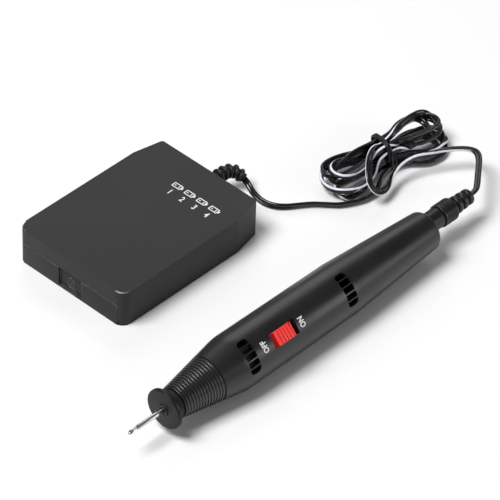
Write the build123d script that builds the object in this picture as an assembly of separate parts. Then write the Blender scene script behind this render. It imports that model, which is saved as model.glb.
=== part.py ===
from build123d import *
import math
import os

# Electric engraving pen with its battery case and cord, in millimetres.
# The origin is on the surface that everything lies on, under the middle of
# the case's fixed base panel. +Y runs from the engraving tip to the cord, +Z is up.

os.makedirs("parts", exist_ok=True)

# Battery case
CASE_SIDE_ROOM = 3.0
CASE_REAR_ROOM = 23.5
CASE_WALL = 2.0
CASE_TOP_WALL = 2.0
CASE_FRONT_RADIUS = 5.0
CASE_REAR_BEVEL_X = 3.3
CASE_REAR_BEVEL_Y = 15.4
CASE_EDGE_ROUND = 0.8
BASE_PANEL_LENGTH = 24.0
BASE_THICKNESS = 2.0
PANEL_GAP = 0.15
CASE_SCREW_INSET = 11.0
CASE_SCREW_SETBACK = 10.0
CASE_BOSS_RADIUS = 3.0

# Battery door, a bottom plate with a front wall
DOOR_FRONT_HEIGHT = 11.0
DOOR_SIDE_MARGIN = 3.8
DOOR_TONGUE_DEPTH = 0.9
DOOR_TONGUE_THICKNESS = 0.8
DOOR_TONGUE_HEIGHT = 0.7
DOOR_SLIDE_GAP = 0.15
THUMB_RECESS_WIDTH = 14.4
THUMB_RECESS_DEPTH = 1.3
THUMB_RECESS_SILL = 0.8
THUMB_PAD_THICKNESS = 1.2
THUMB_RIB_HEIGHT = 0.35
THUMB_RIB_WIDTH = 0.5
THUMB_RIB_PITCH = 1.3
THUMB_RIB_COUNT = 3
THUMB_MARK_SIZE = 4.2
MARK_HEIGHT_SHARE = 0.6

# Four round cells, size AA, side by side
CELL_RADIUS = 7.1
CELL_LENGTH = 50.5
CELL_NUB_RADIUS = 2.6
CELL_NUB_LENGTH = 1.2
CELL_PITCH = 15.0
CELL_COUNT = 4
CELL_FLOOR_GAP = 0.4
CELL_HEADROOM = 0.6
PLATE_THICKNESS = 0.4
PLATE_HEIGHT = 9.0
PLATE_MARGIN = 5.5
SPRING_LENGTH = 5.0
SPRING_WIRE = 0.6
SPRING_RADIUS = 3.4
SPRING_TURNS = 4
SPRING_END_CUT = 0.1
RIB_THICKNESS = 1.4
RIB_FLOOR_GAP = 0.6
FRONT_RIB_SETBACK = 1.6
TAB_WIDTH = 3.0
TAB_LENGTH = 3.4
TAB_DROP = 0.5
TAB_GAP = 0.1
INNER_WIRE_RADIUS = 0.65
INNER_WIRE_SPREAD = 0.975

# Cord exit of the case, with its bending boot
EXIT_X = -1.0
EXIT_Z = 10.5
BOOT_NECK_RADIUS = 2.9
BOOT_FLANGE_RADIUS = 4.4
BOOT_FLANGE_THICKNESS = 1.4
BOOT_RIB_COUNT = 7
BOOT_RIB_FIRST_RADIUS = 3.9
BOOT_RIB_LAST_RADIUS = 3.3
BOOT_RIB_THICKNESS = 1.7
BOOT_CORE_RADIUS = 2.2
BOOT_GAP = 0.1
BOOT_RIB_SETBACK = 0.4

# Flat twin cord, shaped as a round tube of like section
CORD_DIAMETER = 2.4
BEND_SHARE = 0.45

# Pen: its axis lies along Y and the switch is turned towards the case's far side
PEN_X = 91.9
PEN_REST_GAP = 0.05
PEN_NOSE_Y = -110.9
SWITCH_TURN_DEG = 47.0

# Barrel, measured along the axis from the front of the finger guard
BARREL_START = 6.4
BARREL_NOSE_WALL = 1.82
SHOULDER_LEAD = 8.4
BODY_LENGTH = 69.0
WAIST_DROP = 0.35
TAIL_LENGTH = 57.6
BARREL_END_RADIUS = 9.4
BARREL_END_ROUND = 2.6
BARREL_WALL = 1.8
SHOULDER_BLEND = 30.0
END_WALL = 2.4
GRIP_GROOVE_START = 7.0
GRIP_GROOVE_PITCH = 1.5
GRIP_GROOVE_COUNT = 14
GRIP_GROOVE_WIDTH = 0.9
GRIP_GROOVE_DEPTH = 0.5
VENT_LENGTH = 6.0
VENT_FRONT_SETBACK = 2.7
VENT_REAR_SETBACK = 4.6
VENT_ARC_DEG = 72.0
VENT_RIB_DEG = 2.4
VENT_COUNT = 5
BARREL_SCREW_FRONT_SETBACK = 12.4
BARREL_SCREW_REAR_SETBACK = 21.6
BARREL_BOSS_RADIUS = 3.0

# Screws shared by barrel and case
SCREW_HEAD_RADIUS = 2.2
SCREW_HEAD_THICKNESS = 1.2
SCREW_SHANK_RADIUS = 1.15
SCREW_LENGTH = 9.0
SCREW_SLOT_WIDTH = 0.6
SCREW_SLOT_DEPTH = 0.5
SCREW_GAP = 0.15
THREAD_FIT = 0.02
BARREL_SCREW_SEAT = 4.0

# Finger guard on the nose
GUARD_RADIUS = 9.7
GUARD_RIM_THICKNESS = 2.6
GUARD_RIM_ROUND = 0.9
GUARD_NECK_DROP = 0.7
GUARD_SPIGOT_WALL = 1.8
GUARD_SPIGOT_LENGTH = 6.3
GUARD_SEAT_GAP = 0.3
GUARD_FIT = 0.08
GUARD_HOLE_RADIUS = 1.9
GUARD_COLLAR_RADIUS = 2.9
GUARD_COLLAR_HEIGHT = 0.5
GUARD_BORE_GAP = 0.9
GUARD_WEB_THICKNESS = 5.0

# Engraving bit, chuck and nose bush
BIT_REACH = 21.0
BIT_SHANK_RADIUS = 1.175
BIT_NECK_RADIUS = 0.9
BIT_NECK_LENGTH = 2.1
BIT_TAPER_LENGTH = 1.2
BURR_RADIUS = 1.0
BURR_LENGTH = 2.6
BURR_FLUTE_COUNT = 6
BURR_FLUTE_RADIUS = 0.28
BURR_TIP_BEVEL = 0.25
CHUCK_RADIUS = 3.0
CHUCK_SETBACK = 3.4
CHUCK_LENGTH = 21.0
CHUCK_CHAMFER = 0.5
CHUCK_WEB = 1.0
CHUCK_BIT_DEPTH = 10.0
CHUCK_FIT = 0.02
CHUCK_SCREW_RADIUS = 0.9
CHUCK_SCREW_SLOT_HALF = 0.225
CHUCK_SCREW_SLOT_DEPTH = 0.45
CHUCK_SCREW_SETBACK = 3.2
BUSH_WALL = 2.15
BUSH_SETBACK = 2.2
BUSH_LENGTH = 6.0
BUSH_RUNNING_FIT = 0.05
BUSH_SEAT_GAP = 0.1
BUSH_LIP_RADIUS = 4.2
BUSH_LIP_THICKNESS = 1.4

# Motor
MOTOR_RADIUS = 10.0
MOTOR_CHUCK_GAP = 3.2
MOTOR_ROOM = 1.55
MOTOR_LENGTH = 22.0
MOTOR_CAN_WALL = 0.8
MOTOR_CAP_THICKNESS = 2.6
MOTOR_SHAFT_RADIUS = 1.0
MOTOR_SHAFT_TAIL = 1.2
MOTOR_ROTOR_SETBACK = 3.8
MOTOR_BUSH_RADIUS = 3.0
MOTOR_BUSH_LENGTH = 2.6
MOTOR_RUNNING_FIT = 0.03
MAGNET_THICKNESS = 2.2
MAGNET_LENGTH = 15.0
MAGNET_ARC_DEG = 120.0
ROTOR_RADIUS = 6.3
ROTOR_LENGTH = 10.0
ROTOR_SLOT_COUNT = 3
ROTOR_SLOT_WIDTH = 1.4
ROTOR_HUB_RADIUS = 2.6
WINDING_RADIUS = 5.2
WINDING_LENGTH = 1.6
COMMUTATOR_RADIUS = 2.0
COMMUTATOR_LENGTH = 2.6
COMMUTATOR_GAP = 0.1
BRUSH_THICKNESS = 0.5
BRUSH_WIDTH = 1.6
BRUSH_FIT = 0.08
MOTOR_TERMINAL_SPREAD = 12.0
MOTOR_TERMINAL_LENGTH = 2.6
MOTOR_SEAT_GAP = 0.1
MOTOR_RIB_THICKNESS = 1.6
MOTOR_LIP_RADIUS = 8.5

# Switch
KNOB_LENGTH = 12.6
KNOB_WIDTH = 6.6
KNOB_RISE = 1.5
KNOB_RIB_COUNT = 5
KNOB_RIB_PITCH = 1.7
KNOB_GROOVE_DEPTH = 0.6
KNOB_GROOVE_WIDTH = 0.8
KNOB_EDGE_ROUND = 0.5
KNOB_FLANGE_THICKNESS = 1.0
KNOB_FLANGE_MARGIN = 1.1
KNOB_STEM_SIZE = 2.2
SLOT_GAP = 0.2
KNOB_TRAVEL = 2.2
KNOB_MOTOR_GAP = 2.4
KNOB_SHELL_GAP = 0.25
SWITCH_BODY_LENGTH = 14.0
SWITCH_BODY_WIDTH = 7.0
SWITCH_BODY_HEIGHT = 4.4
SWITCH_BODY_WALL = 0.7
SWITCH_TERMINAL_WIDTH = 1.4
SWITCH_TERMINAL_LENGTH = 2.2
SWITCH_TERMINAL_PITCH = 4.4
SWITCH_TERMINAL_COUNT = 3
WIPER_LENGTH = 5.0
WIPER_WIDTH = 3.0
WIPER_THICKNESS = 0.5
WIPER_LIFT = 0.1
SWITCH_PAD_THICKNESS = 0.4
SWITCH_POST_WIDTH = 2.0

# Power jack and plug, beside the pen's axis
JACK_OFFSET = -1.67
JACK_SLEEVE_RADIUS = 4.92
JACK_REACH = 8.6
JACK_DEPTH = 9.0
JACK_FLANGE_RADIUS = 5.9
JACK_FLANGE_THICKNESS = 1.6
JACK_BORE_RADIUS = 2.85
JACK_BACK_WALL = 2.0
JACK_PIN_RADIUS = 0.95
JACK_PIN_TAIL = 2.4
JACK_PIN_CHAMFER = 0.3
JACK_LEAF_THICKNESS = 0.4
JACK_LEAF_WIDTH = 2.0
JACK_LEAF_TAIL = 2.4
JACK_PIN_SETBACK = 2.2
JACK_LEAF_SETBACK = 4.2
JACK_GAP = 0.1
PLUG_GAP = 0.2
PLUG_RING_RADIUS = 5.5
PLUG_RING_LENGTH = 8.8
PLUG_RING_GROOVE_COUNT = 7
PLUG_RING_GROOVE_PITCH = 0.9
PLUG_RING_GROOVE_DEPTH = 0.3
PLUG_RING_GROOVE_WIDTH = 0.4
PLUG_RING_SETBACK = 1.4
PLUG_NECK_RADIUS = 3.2
PLUG_NECK_LENGTH = 0.8
PLUG_BOOT_RADIUS = 4.2
PLUG_BOOT_LENGTH = 11.4
PLUG_BOOT_END_RADIUS = 3.8
PLUG_CORE_END_RADIUS = 2.8
PLUG_BOOT_BEAD_COUNT = 3
PLUG_BOOT_BEAD_SHARE = 0.75
PLUG_SLEEVE_RADIUS = 2.7
PLUG_SLEEVE_WALL = 0.3
PLUG_SLEEVE_LENGTH = 9.5
PLUG_BORE_RADIUS = 1.15
PLUG_CONTACT_WALL = 0.3
PLUG_FIT = 0.05
PLUG_ROOT_LENGTH = 3.0
PLUG_TIP_SETBACK = 0.5
PEN_WIRE_RADIUS = 0.6
WIRE_END_RUN = 1.6

# Hank of six loops: half length, half width at the lobes and at the waist
HANK_X = 39.5
HANK_Y = 87.5
HANK_TURN_DEG = 6.5
HANK_HALF_LENGTH = 34.5
HANK_LOBE_HALF = 12.5
HANK_WAIST_HALF = 8.5
HANK_STEP = 3.2
HANK_WAIST_STEP = 3.2
HANK_FLOOR_HEIGHT = 1.8
HANK_LAYER_RISE = 3.4
HANK_LEAN = 1.2
HANK_LAYERS = 4
HANK_STATIONS_PER_TURN = 8
HANK_STATIONS_PER_LAYER = 12
HANK_CLIMB_STATIONS = 2
HANK_CLIMB_LEAD = 1
HANK_LAST_STATION = 43
HANK_WAIST_LIFT = 0.9
TIE_THICKNESS = 0.8
TIE_WIDTH = 2.0
TIE_CLEARANCE = 0.35
CORD_END_RUN = 4.6

# Routes of the free cord, chosen by hand so that it lies loosely
BOOT_BEND = [(-0.2, 8.5, 0.4), (0.1, 13.6, 0.2), (2.0, 17.2, -1.6), (5.2, 18.2, -4.2)]
CASE_ROUTE = [(9.6, 29.6, 3.3), (13.6, 28.4, 2.6), (18.4, 28.2, 1.9), (23.6, 29.6, 1.8),
              (27.8, 33.0, 1.8), (31.2, 38.0, 1.8), (34.8, 43.2, 1.8), (39.6, 47.4, 1.8), (44.6, 51.6, 1.8)]
PLUG_ROUTE = [(30.8, 118.6, 12.9), (29.2, 112.4, 14.2), (31.6, 105.4, 14.9), (34.6, 98.4, 14.2),
              (36.6, 91.4, 12.9), (37.6, 84.8, 12.9), (39.2, 78.8, 15.0), (42.8, 72.4, 16.4),
              (47.6, 66.4, 15.6), (53.0, 62.4, 12.0), (56.8, 63.8, 7.4), (57.6, 70.0, 4.4),
              (56.0, 77.6, 4.0), (56.0, 85.4, 5.8), (57.6, 93.0, 8.6), (60.0, 100.4, 10.6),
              (62.6, 107.4, 11.8), (66.4, 113.0, 12.4), (71.2, 114.2, 13.0), (75.8, 110.6, 13.6),
              (80.0, 105.4, 14.0), (84.2, 100.0, 14.4), (88.0, 95.2, 14.7)]

# Ways of the wires inside case and pen, as shares of the way between their soldered ends
CASE_WIRE_SHARES = [(0, 0.17, 0), (0.33, 0.41, 0.16), (0.69, 0.63, 0.47), (0.97, 0.83, 0.87)]
PEN_WIRE_LANE = 6.3
MOTOR_SWITCH_SHARES = [(0, 0.95, 0.6), (-0.2, 0.73, 1.2), (-0.24, 0.32, 1.2)]
SWITCH_JACK_SHARES = [(-0.22, 0.4, 0.02), (-0.1, 0.95, 0.08), (0.06, 1.02, 0.17), (0.14, 1.0, 0.35),
                      (0.08, 0.94, 0.58), (0, 0.83, 0.81), (0.13, 0.54, 0.92), (0.38, -0.1, 0.97)]
MOTOR_JACK_SHARES = [(0, -0.95, 0.03), (-0.1, -1.0, 0.11), (-0.16, -1.02, 0.27), (-0.13, -0.98, 0.47),
                     (-0.08, -0.94, 0.67), (-0.03, -0.86, 0.86), (0, -0.54, 0.94)]

CUT_OVERRUN = 1.0
SAME_POINT_GAP = 0.1
STRAIGHT_ON_SPREAD = 0.001
HANK_NEIGHBOUR_STEPS = 8

# Places worked out from the sizes above
CASE_WIDTH = CELL_COUNT * CELL_PITCH + 2 * CASE_SIDE_ROOM
CELL_HEIGHT = BASE_THICKNESS + CELL_FLOOR_GAP + CELL_RADIUS
CEILING = CELL_HEIGHT + CELL_RADIUS + CELL_HEADROOM
CASE_HEIGHT = CEILING + CASE_TOP_WALL
CASE_REAR = BASE_PANEL_LENGTH / 2
DOOR_END = -BASE_PANEL_LENGTH / 2
BAY_LENGTH = 2 * PLATE_THICKNESS + SPRING_LENGTH + CELL_LENGTH
BAY_REAR = CASE_REAR - CASE_WALL - CASE_REAR_ROOM - RIB_THICKNESS
BAY_FRONT = BAY_REAR - BAY_LENGTH
FRONT_RIB = BAY_FRONT - RIB_THICKNESS
CASE_FRONT = FRONT_RIB - FRONT_RIB_SETBACK - CASE_WALL
CASE_SCREW_X = CASE_WIDTH / 2 - CASE_SCREW_INSET
CASE_SCREW_Y = CASE_REAR - CASE_SCREW_SETBACK
DOOR_FRONT_WIDTH = CASE_WIDTH - 2 * DOOR_SIDE_MARGIN
TAB_HEIGHT = CELL_HEIGHT + PLATE_HEIGHT / 2 - TAB_DROP
BOOT_ROUTE = [(EXIT_X, CASE_REAR, EXIT_Z)]
BOOT_ROUTE += [(EXIT_X + x, CASE_REAR + y, EXIT_Z + z) for x, y, z in BOOT_BEND]
GUARD_BORE_RADIUS = CHUCK_RADIUS + GUARD_BORE_GAP
GUARD_SPIGOT_RADIUS = GUARD_BORE_RADIUS + GUARD_SPIGOT_WALL
GUARD_SPIGOT_END = BARREL_START - GUARD_SEAT_GAP + GUARD_SPIGOT_LENGTH
BARREL_START_RADIUS = GUARD_SPIGOT_RADIUS + GUARD_FIT + BARREL_NOSE_WALL
GUARD_NECK_RADIUS = BARREL_START_RADIUS - GUARD_NECK_DROP
CHUCK_START = GUARD_WEB_THICKNESS + CHUCK_SETBACK
CHUCK_END = CHUCK_START + CHUCK_LENGTH
BUSH_RADIUS = CHUCK_RADIUS + BUSH_RUNNING_FIT + BUSH_WALL
BUSH_START = GUARD_SPIGOT_END + BUSH_SETBACK
MOTOR_START = CHUCK_END + MOTOR_CHUCK_GAP
SHOULDER_AT = MOTOR_START + SHOULDER_LEAD
SHOULDER_RADIUS = MOTOR_RADIUS + MOTOR_SEAT_GAP + MOTOR_ROOM + BARREL_WALL
WAIST_AT = SHOULDER_AT + BODY_LENGTH
WAIST_RADIUS = SHOULDER_RADIUS - WAIST_DROP
BARREL_END = WAIST_AT + TAIL_LENGTH
PEN_AXIS_HEIGHT = SHOULDER_RADIUS + PEN_REST_GAP
VENT_FRONT_AT = SHOULDER_AT + VENT_FRONT_SETBACK
VENT_REAR_AT = WAIST_AT - VENT_REAR_SETBACK
MOTOR_END = MOTOR_START + MOTOR_LENGTH
KNOB_START = MOTOR_END + KNOB_MOTOR_GAP
KNOB_TOP = WAIST_RADIUS + KNOB_RISE
BARREL_SCREW_FRONT_AT = KNOB_START + KNOB_LENGTH + BARREL_SCREW_FRONT_SETBACK
BARREL_SCREW_REAR_AT = BARREL_END - BARREL_SCREW_REAR_SETBACK
JACK_FACE = BARREL_END + JACK_REACH
JACK_BACK = BARREL_END - JACK_DEPTH
PLUG_FACE = JACK_FACE + PLUG_GAP
PLUG_END = PLUG_FACE + PLUG_RING_LENGTH + PLUG_NECK_LENGTH + PLUG_BOOT_LENGTH
SWITCH_CENTRE = KNOB_START + (KNOB_LENGTH + KNOB_TRAVEL) / 2
CORD_RADIUS = CORD_DIAMETER / 2
SHELL_WIDTH = 2 * SHOULDER_RADIUS
SWITCH_SLOT_START = KNOB_START - SLOT_GAP
SWITCH_SLOT_END = KNOB_START + KNOB_LENGTH + KNOB_TRAVEL + SLOT_GAP
KNOB_FLANGE_HALF = KNOB_WIDTH / 2 + KNOB_FLANGE_MARGIN
KNOB_FLANGE_TOP = math.sqrt((WAIST_RADIUS - BARREL_WALL) ** 2 - KNOB_FLANGE_HALF ** 2) - KNOB_SHELL_GAP
KNOB_FLANGE_LOW = KNOB_FLANGE_TOP - KNOB_FLANGE_THICKNESS
SWITCH_TOP = KNOB_FLANGE_LOW - KNOB_SHELL_GAP
SWITCH_LOW = SWITCH_TOP - SWITCH_BODY_HEIGHT
SWITCH_FRONT = SWITCH_CENTRE - SWITCH_BODY_LENGTH / 2
SWITCH_REAR = SWITCH_CENTRE + SWITCH_BODY_LENGTH / 2
PAD_TOP = SWITCH_LOW + SWITCH_BODY_WALL + SWITCH_PAD_THICKNESS
WIPER_TOP = PAD_TOP + WIPER_LIFT + WIPER_THICKNESS
ROTOR_START = MOTOR_START + MOTOR_CAN_WALL + MOTOR_ROTOR_SETBACK
ROTOR_END = ROTOR_START + ROTOR_LENGTH
CAP_START = MOTOR_END - MOTOR_CAP_THICKNESS
WEB_START = CHUCK_START + CHUCK_BIT_DEPTH
END_WALL_FACE = BARREL_END - END_WALL
FLANGE_FACE = END_WALL_FACE - JACK_FLANGE_THICKNESS

# The pen's own frame: axis along its Z from the finger guard's face, switch towards its X
SWITCH_TURN = math.radians(SWITCH_TURN_DEG)
PEN_PLANE = Plane(origin=(PEN_X, PEN_NOSE_Y, PEN_AXIS_HEIGHT),
                  x_dir=(math.sin(SWITCH_TURN), 0, math.cos(SWITCH_TURN)), z_dir=(0, 1, 0))


def write(node, shape):
    export_step(shape, "parts/" + node + ".step")


def write_pen(node, shape):
    write(node, PEN_PLANE.location * shape)


# Shapes that repeat: turned pieces, rods, blocks between two corners, tubes along a route
def turned(points):
    return revolve(Plane.XZ * make_face(Polyline(*points, close=True)), axis=Axis.Z)


def rod(radius, start, end):
    return Pos(0, 0, (start + end) / 2) * Cylinder(radius, end - start)


def block(low, high):
    size = [high[i] - low[i] for i in range(3)]
    middle = [(high[i] + low[i]) / 2 for i in range(3)]
    return Pos(*middle) * Box(*size)


def rod_between(radius, start, end):
    axis = Vector(*end) - Vector(*start)
    return Plane(origin=Vector(*start) + axis * (1 / 2), z_dir=axis) * Cylinder(radius, axis.length)


def bend_radii(points):
    corners = [Vector(*p) for p in points]
    radii = []
    for before, corner, after in zip(corners, corners[1:], corners[2:]):
        into, out = corner - before, after - corner
        turn = math.radians(into.get_angle(out))
        radii.append(BEND_SHARE * min(into.length, out.length) / math.tan(turn / 2))
    return radii


def routed(points):
    return FilletPolyline(*points, radius=bend_radii(points))


def tube(points, radius):
    path = routed(points)
    section = Plane(origin=path @ 0, z_dir=path % 0) * Circle(radius)
    return sweep(section, path=path), path


# Battery case: one moulded shell with ribs, bosses and ledges
def case_outline(inset):
    half = CASE_WIDTH / 2 - inset
    front = CASE_FRONT + inset
    rear = CASE_REAR - inset
    side_rear, rear_half = rear - CASE_REAR_BEVEL_Y, half - CASE_REAR_BEVEL_X
    points = [(-half, front), (half, front), (half, side_rear), (rear_half, rear), (-rear_half, rear),
              (-half, side_rear)]
    face = make_face(Polyline(*points, close=True))
    return fillet(face.vertices().sort_by(Axis.Y)[:2], CASE_FRONT_RADIUS - inset)


def case_rib(front):
    half = CASE_WIDTH / 2 - CASE_WALL
    return block((-half, front, BASE_THICKNESS + RIB_FLOOR_GAP), (half, front + RIB_THICKNESS, CEILING))


def cell_x(index):
    return (index - (CELL_COUNT - 1) / 2) * CELL_PITCH


def case_shell():
    shell = extrude(case_outline(0), CASE_HEIGHT)
    shell = fillet(shell.faces().sort_by(Axis.Z)[-1].edges(), CASE_EDGE_ROUND)
    cavity = Pos(0, 0, -CUT_OVERRUN) * extrude(case_outline(CASE_WALL), CEILING + CUT_OVERRUN)
    shell -= cavity
    opening_half = DOOR_FRONT_WIDTH / 2 + DOOR_SLIDE_GAP
    ledge_front = CASE_FRONT + CASE_FRONT_RADIUS
    for side in (-1, 1):
        inner, outer = sorted((side * opening_half, side * (CASE_WIDTH / 2 - CASE_WALL / 2)))
        shell += block((inner, ledge_front, 0), (outer, DOOR_END, BASE_THICKNESS))
    shell += [case_rib(FRONT_RIB), case_rib(BAY_REAR)]
    bosses = []
    for side in (-1, 1):
        post = Pos(side * CASE_SCREW_X, CASE_SCREW_Y, 0)
        bosses.append(post * rod(CASE_BOSS_RADIUS, BASE_THICKNESS + PANEL_GAP, CEILING + CASE_TOP_WALL / 2))
    shell += bosses
    top = DOOR_FRONT_HEIGHT + DOOR_SLIDE_GAP
    shell -= block((-opening_half, CASE_FRONT - CUT_OVERRUN, -CUT_OVERRUN),
                   (opening_half, CASE_FRONT + CASE_WALL + FRONT_RIB_SETBACK, top))
    groove_half = opening_half + DOOR_TONGUE_DEPTH
    shell -= block((-groove_half, CASE_FRONT - CUT_OVERRUN, DOOR_TONGUE_HEIGHT - DOOR_SLIDE_GAP),
                   (groove_half, DOOR_END, DOOR_TONGUE_HEIGHT + DOOR_TONGUE_THICKNESS + DOOR_SLIDE_GAP))
    for side in (-1, 1):
        post = Pos(side * CASE_SCREW_X, CASE_SCREW_Y, 0)
        shell -= post * rod(SCREW_SHANK_RADIUS + THREAD_FIT, 0, SCREW_LENGTH + CASE_TOP_WALL)
    hole_start = (EXIT_X, CASE_REAR - CASE_WALL - CUT_OVERRUN, EXIT_Z)
    shell -= rod_between(BOOT_NECK_RADIUS + BOOT_GAP, hole_start, (EXIT_X, CASE_REAR + CUT_OVERRUN, EXIT_Z))
    for index in (0, CELL_COUNT - 1):
        x = cell_x(index)
        half = TAB_WIDTH / 2 + TAB_GAP
        slot_top = TAB_HEIGHT + PLATE_THICKNESS + TAB_GAP
        shell -= block((x - half, BAY_REAR - CUT_OVERRUN, TAB_HEIGHT - TAB_GAP),
                       (x + half, BAY_REAR + RIB_THICKNESS + CUT_OVERRUN, slot_top))
    return shell


def case_base_panel():
    panel = extrude(case_outline(CASE_WALL + PANEL_GAP), BASE_THICKNESS)
    keep = block((-CASE_WIDTH, DOOR_END + PANEL_GAP, -CUT_OVERRUN), (CASE_WIDTH, CASE_REAR, CASE_HEIGHT))
    panel &= keep
    for side in (-1, 1):
        post = Pos(side * CASE_SCREW_X, CASE_SCREW_Y, 0)
        panel -= post * rod(SCREW_SHANK_RADIUS + SCREW_GAP, -CUT_OVERRUN, BASE_THICKNESS + CUT_OVERRUN)
        panel -= post * rod(SCREW_HEAD_RADIUS + SCREW_GAP, -CUT_OVERRUN, SCREW_HEAD_THICKNESS + PANEL_GAP)
    return panel


# Pan head screw along +Z, with the underside of its head at zero
def screw():
    shape = rod(SCREW_HEAD_RADIUS, -SCREW_HEAD_THICKNESS, 0) + rod(SCREW_SHANK_RADIUS, 0, SCREW_LENGTH)
    half = SCREW_SLOT_WIDTH / 2
    low, high = -SCREW_HEAD_THICKNESS - CUT_OVERRUN, SCREW_SLOT_DEPTH - SCREW_HEAD_THICKNESS
    shape -= block((-half, -SCREW_HEAD_RADIUS, low), (half, SCREW_HEAD_RADIUS, high))
    shape -= block((-SCREW_HEAD_RADIUS, -half, low), (SCREW_HEAD_RADIUS, half, high))
    return shape


def case_screws():
    seat = SCREW_HEAD_THICKNESS + PANEL_GAP
    return Part() + [Pos(side * CASE_SCREW_X, CASE_SCREW_Y, seat) * screw() for side in (-1, 1)]


# Battery door: bottom plate with side tongues, front wall with a thumb recess
def battery_door():
    half = DOOR_FRONT_WIDTH / 2
    door = block((-half, CASE_FRONT, 0), (half, DOOR_END, BASE_THICKNESS))
    door += block((-half, CASE_FRONT, 0), (half, CASE_FRONT + CASE_WALL, DOOR_FRONT_HEIGHT))
    tongue_half = half + DOOR_TONGUE_DEPTH
    door += block((-tongue_half, CASE_FRONT + CASE_FRONT_RADIUS, DOOR_TONGUE_HEIGHT),
                  (tongue_half, DOOR_END, DOOR_TONGUE_HEIGHT + DOOR_TONGUE_THICKNESS))
    recess_half = THUMB_RECESS_WIDTH / 2
    pad_half = recess_half + THUMB_PAD_THICKNESS
    door += block((-pad_half, CASE_FRONT, 0),
                  (pad_half, CASE_FRONT + CASE_WALL + THUMB_PAD_THICKNESS, DOOR_FRONT_HEIGHT))
    floor_y = CASE_FRONT + THUMB_RECESS_DEPTH
    door -= block((-recess_half, CASE_FRONT - CUT_OVERRUN, THUMB_RECESS_SILL),
                  (recess_half, floor_y, DOOR_FRONT_HEIGHT + CUT_OVERRUN))
    for index in range(THUMB_RIB_COUNT):
        z = THUMB_RECESS_SILL + (index + 1) * THUMB_RIB_PITCH
        door += block((-THUMB_MARK_SIZE / 2, floor_y - THUMB_RIB_HEIGHT, z),
                      (THUMB_MARK_SIZE / 2, floor_y + THUMB_RIB_HEIGHT, z + THUMB_RIB_WIDTH))
    mark_base = THUMB_RECESS_SILL + (THUMB_RIB_COUNT + 1) * THUMB_RIB_PITCH
    mark = make_face(Polyline((-THUMB_MARK_SIZE / 2, mark_base), (THUMB_MARK_SIZE / 2, mark_base),
                              (0, mark_base + THUMB_MARK_SIZE * MARK_HEIGHT_SHARE), close=True))
    door += Pos(0, floor_y + THUMB_RIB_HEIGHT, 0) * extrude(Plane.XZ * mark, 2 * THUMB_RIB_HEIGHT)
    return door


# Cells stand alternately, plus end first to the front or to the rear
def plus_end_front(index):
    return index % 2 == 1


def battery_cell(index):
    body = rod(CELL_RADIUS, 0, CELL_LENGTH - CELL_NUB_LENGTH)
    body = fillet(body.edges(), CELL_NUB_LENGTH / 2)
    body += rod(CELL_NUB_RADIUS, CELL_LENGTH - CELL_NUB_LENGTH, CELL_LENGTH)
    front = BAY_FRONT + PLATE_THICKNESS
    if plus_end_front(index):
        plane = Plane(origin=(cell_x(index), front + CELL_LENGTH, CELL_HEIGHT), z_dir=(0, -1, 0))
    else:
        plane = Plane(origin=(cell_x(index), front + SPRING_LENGTH, CELL_HEIGHT), z_dir=(0, 1, 0))
    return plane.location * body


def contact_plate(first, last, front, tab):
    low_x = cell_x(first) - PLATE_MARGIN
    high_x = cell_x(last) + PLATE_MARGIN
    z = CELL_HEIGHT - PLATE_HEIGHT / 2
    plate = block((low_x, front, z), (high_x, front + PLATE_THICKNESS, z + PLATE_HEIGHT))
    if tab:
        x = cell_x(first)
        plate += block((x - TAB_WIDTH / 2, front, TAB_HEIGHT),
                       (x + TAB_WIDTH / 2, front + TAB_LENGTH, TAB_HEIGHT + PLATE_THICKNESS))
    return plate


# Contact spring: an open helix, ground flat at both ends
def contact_spring(index):
    pitch = (SPRING_LENGTH - SPRING_WIRE) / SPRING_TURNS
    path = Helix(pitch=pitch, height=SPRING_LENGTH - SPRING_WIRE, radius=SPRING_RADIUS)
    section = Plane(origin=path @ 0, z_dir=path % 0) * Circle(SPRING_WIRE / 2)
    coil = Pos(0, 0, SPRING_WIRE / 2) * sweep(section, path=path)
    coil &= rod(SPRING_RADIUS + SPRING_WIRE, SPRING_END_CUT, SPRING_LENGTH - SPRING_END_CUT)
    front = BAY_FRONT + PLATE_THICKNESS
    if plus_end_front(index):
        front += CELL_LENGTH
    return Plane(origin=(cell_x(index), front, CELL_HEIGHT), z_dir=(0, 1, 0)).location * coil


# Bending boot: flange inside the rear wall, neck through it, ribbed tail bent to the floor
def case_boot():
    inner = CASE_REAR - CASE_WALL
    flange_start, neck_start = (EXIT_X, inner - BOOT_FLANGE_THICKNESS, EXIT_Z), (EXIT_X, inner, EXIT_Z)
    boot = rod_between(BOOT_FLANGE_RADIUS, flange_start, neck_start)
    boot += rod_between(BOOT_NECK_RADIUS, neck_start, (EXIT_X, CASE_REAR + BOOT_GAP, EXIT_Z))
    core, path = tube(BOOT_ROUTE, BOOT_CORE_RADIUS)
    boot += core
    half = BOOT_RIB_THICKNESS / 2 / path.length
    for index in range(BOOT_RIB_COUNT):
        share = index / (BOOT_RIB_COUNT - 1)
        radius = BOOT_RIB_FIRST_RADIUS + share * (BOOT_RIB_LAST_RADIUS - BOOT_RIB_FIRST_RADIUS)
        first = half + BOOT_RIB_SETBACK / path.length
        at = first + share * (1 - first - 3 * half)
        boot += Plane(origin=path @ at, z_dir=path % at).location * Cylinder(radius, BOOT_RIB_THICKNESS)
    return boot


# Points between two ends, each at its own shares of the way along X, Y and Z
def between(start, end, shares):
    return [tuple(a + share * (b - a) for a, b, share in zip(start, end, row)) for row in shares]


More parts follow.
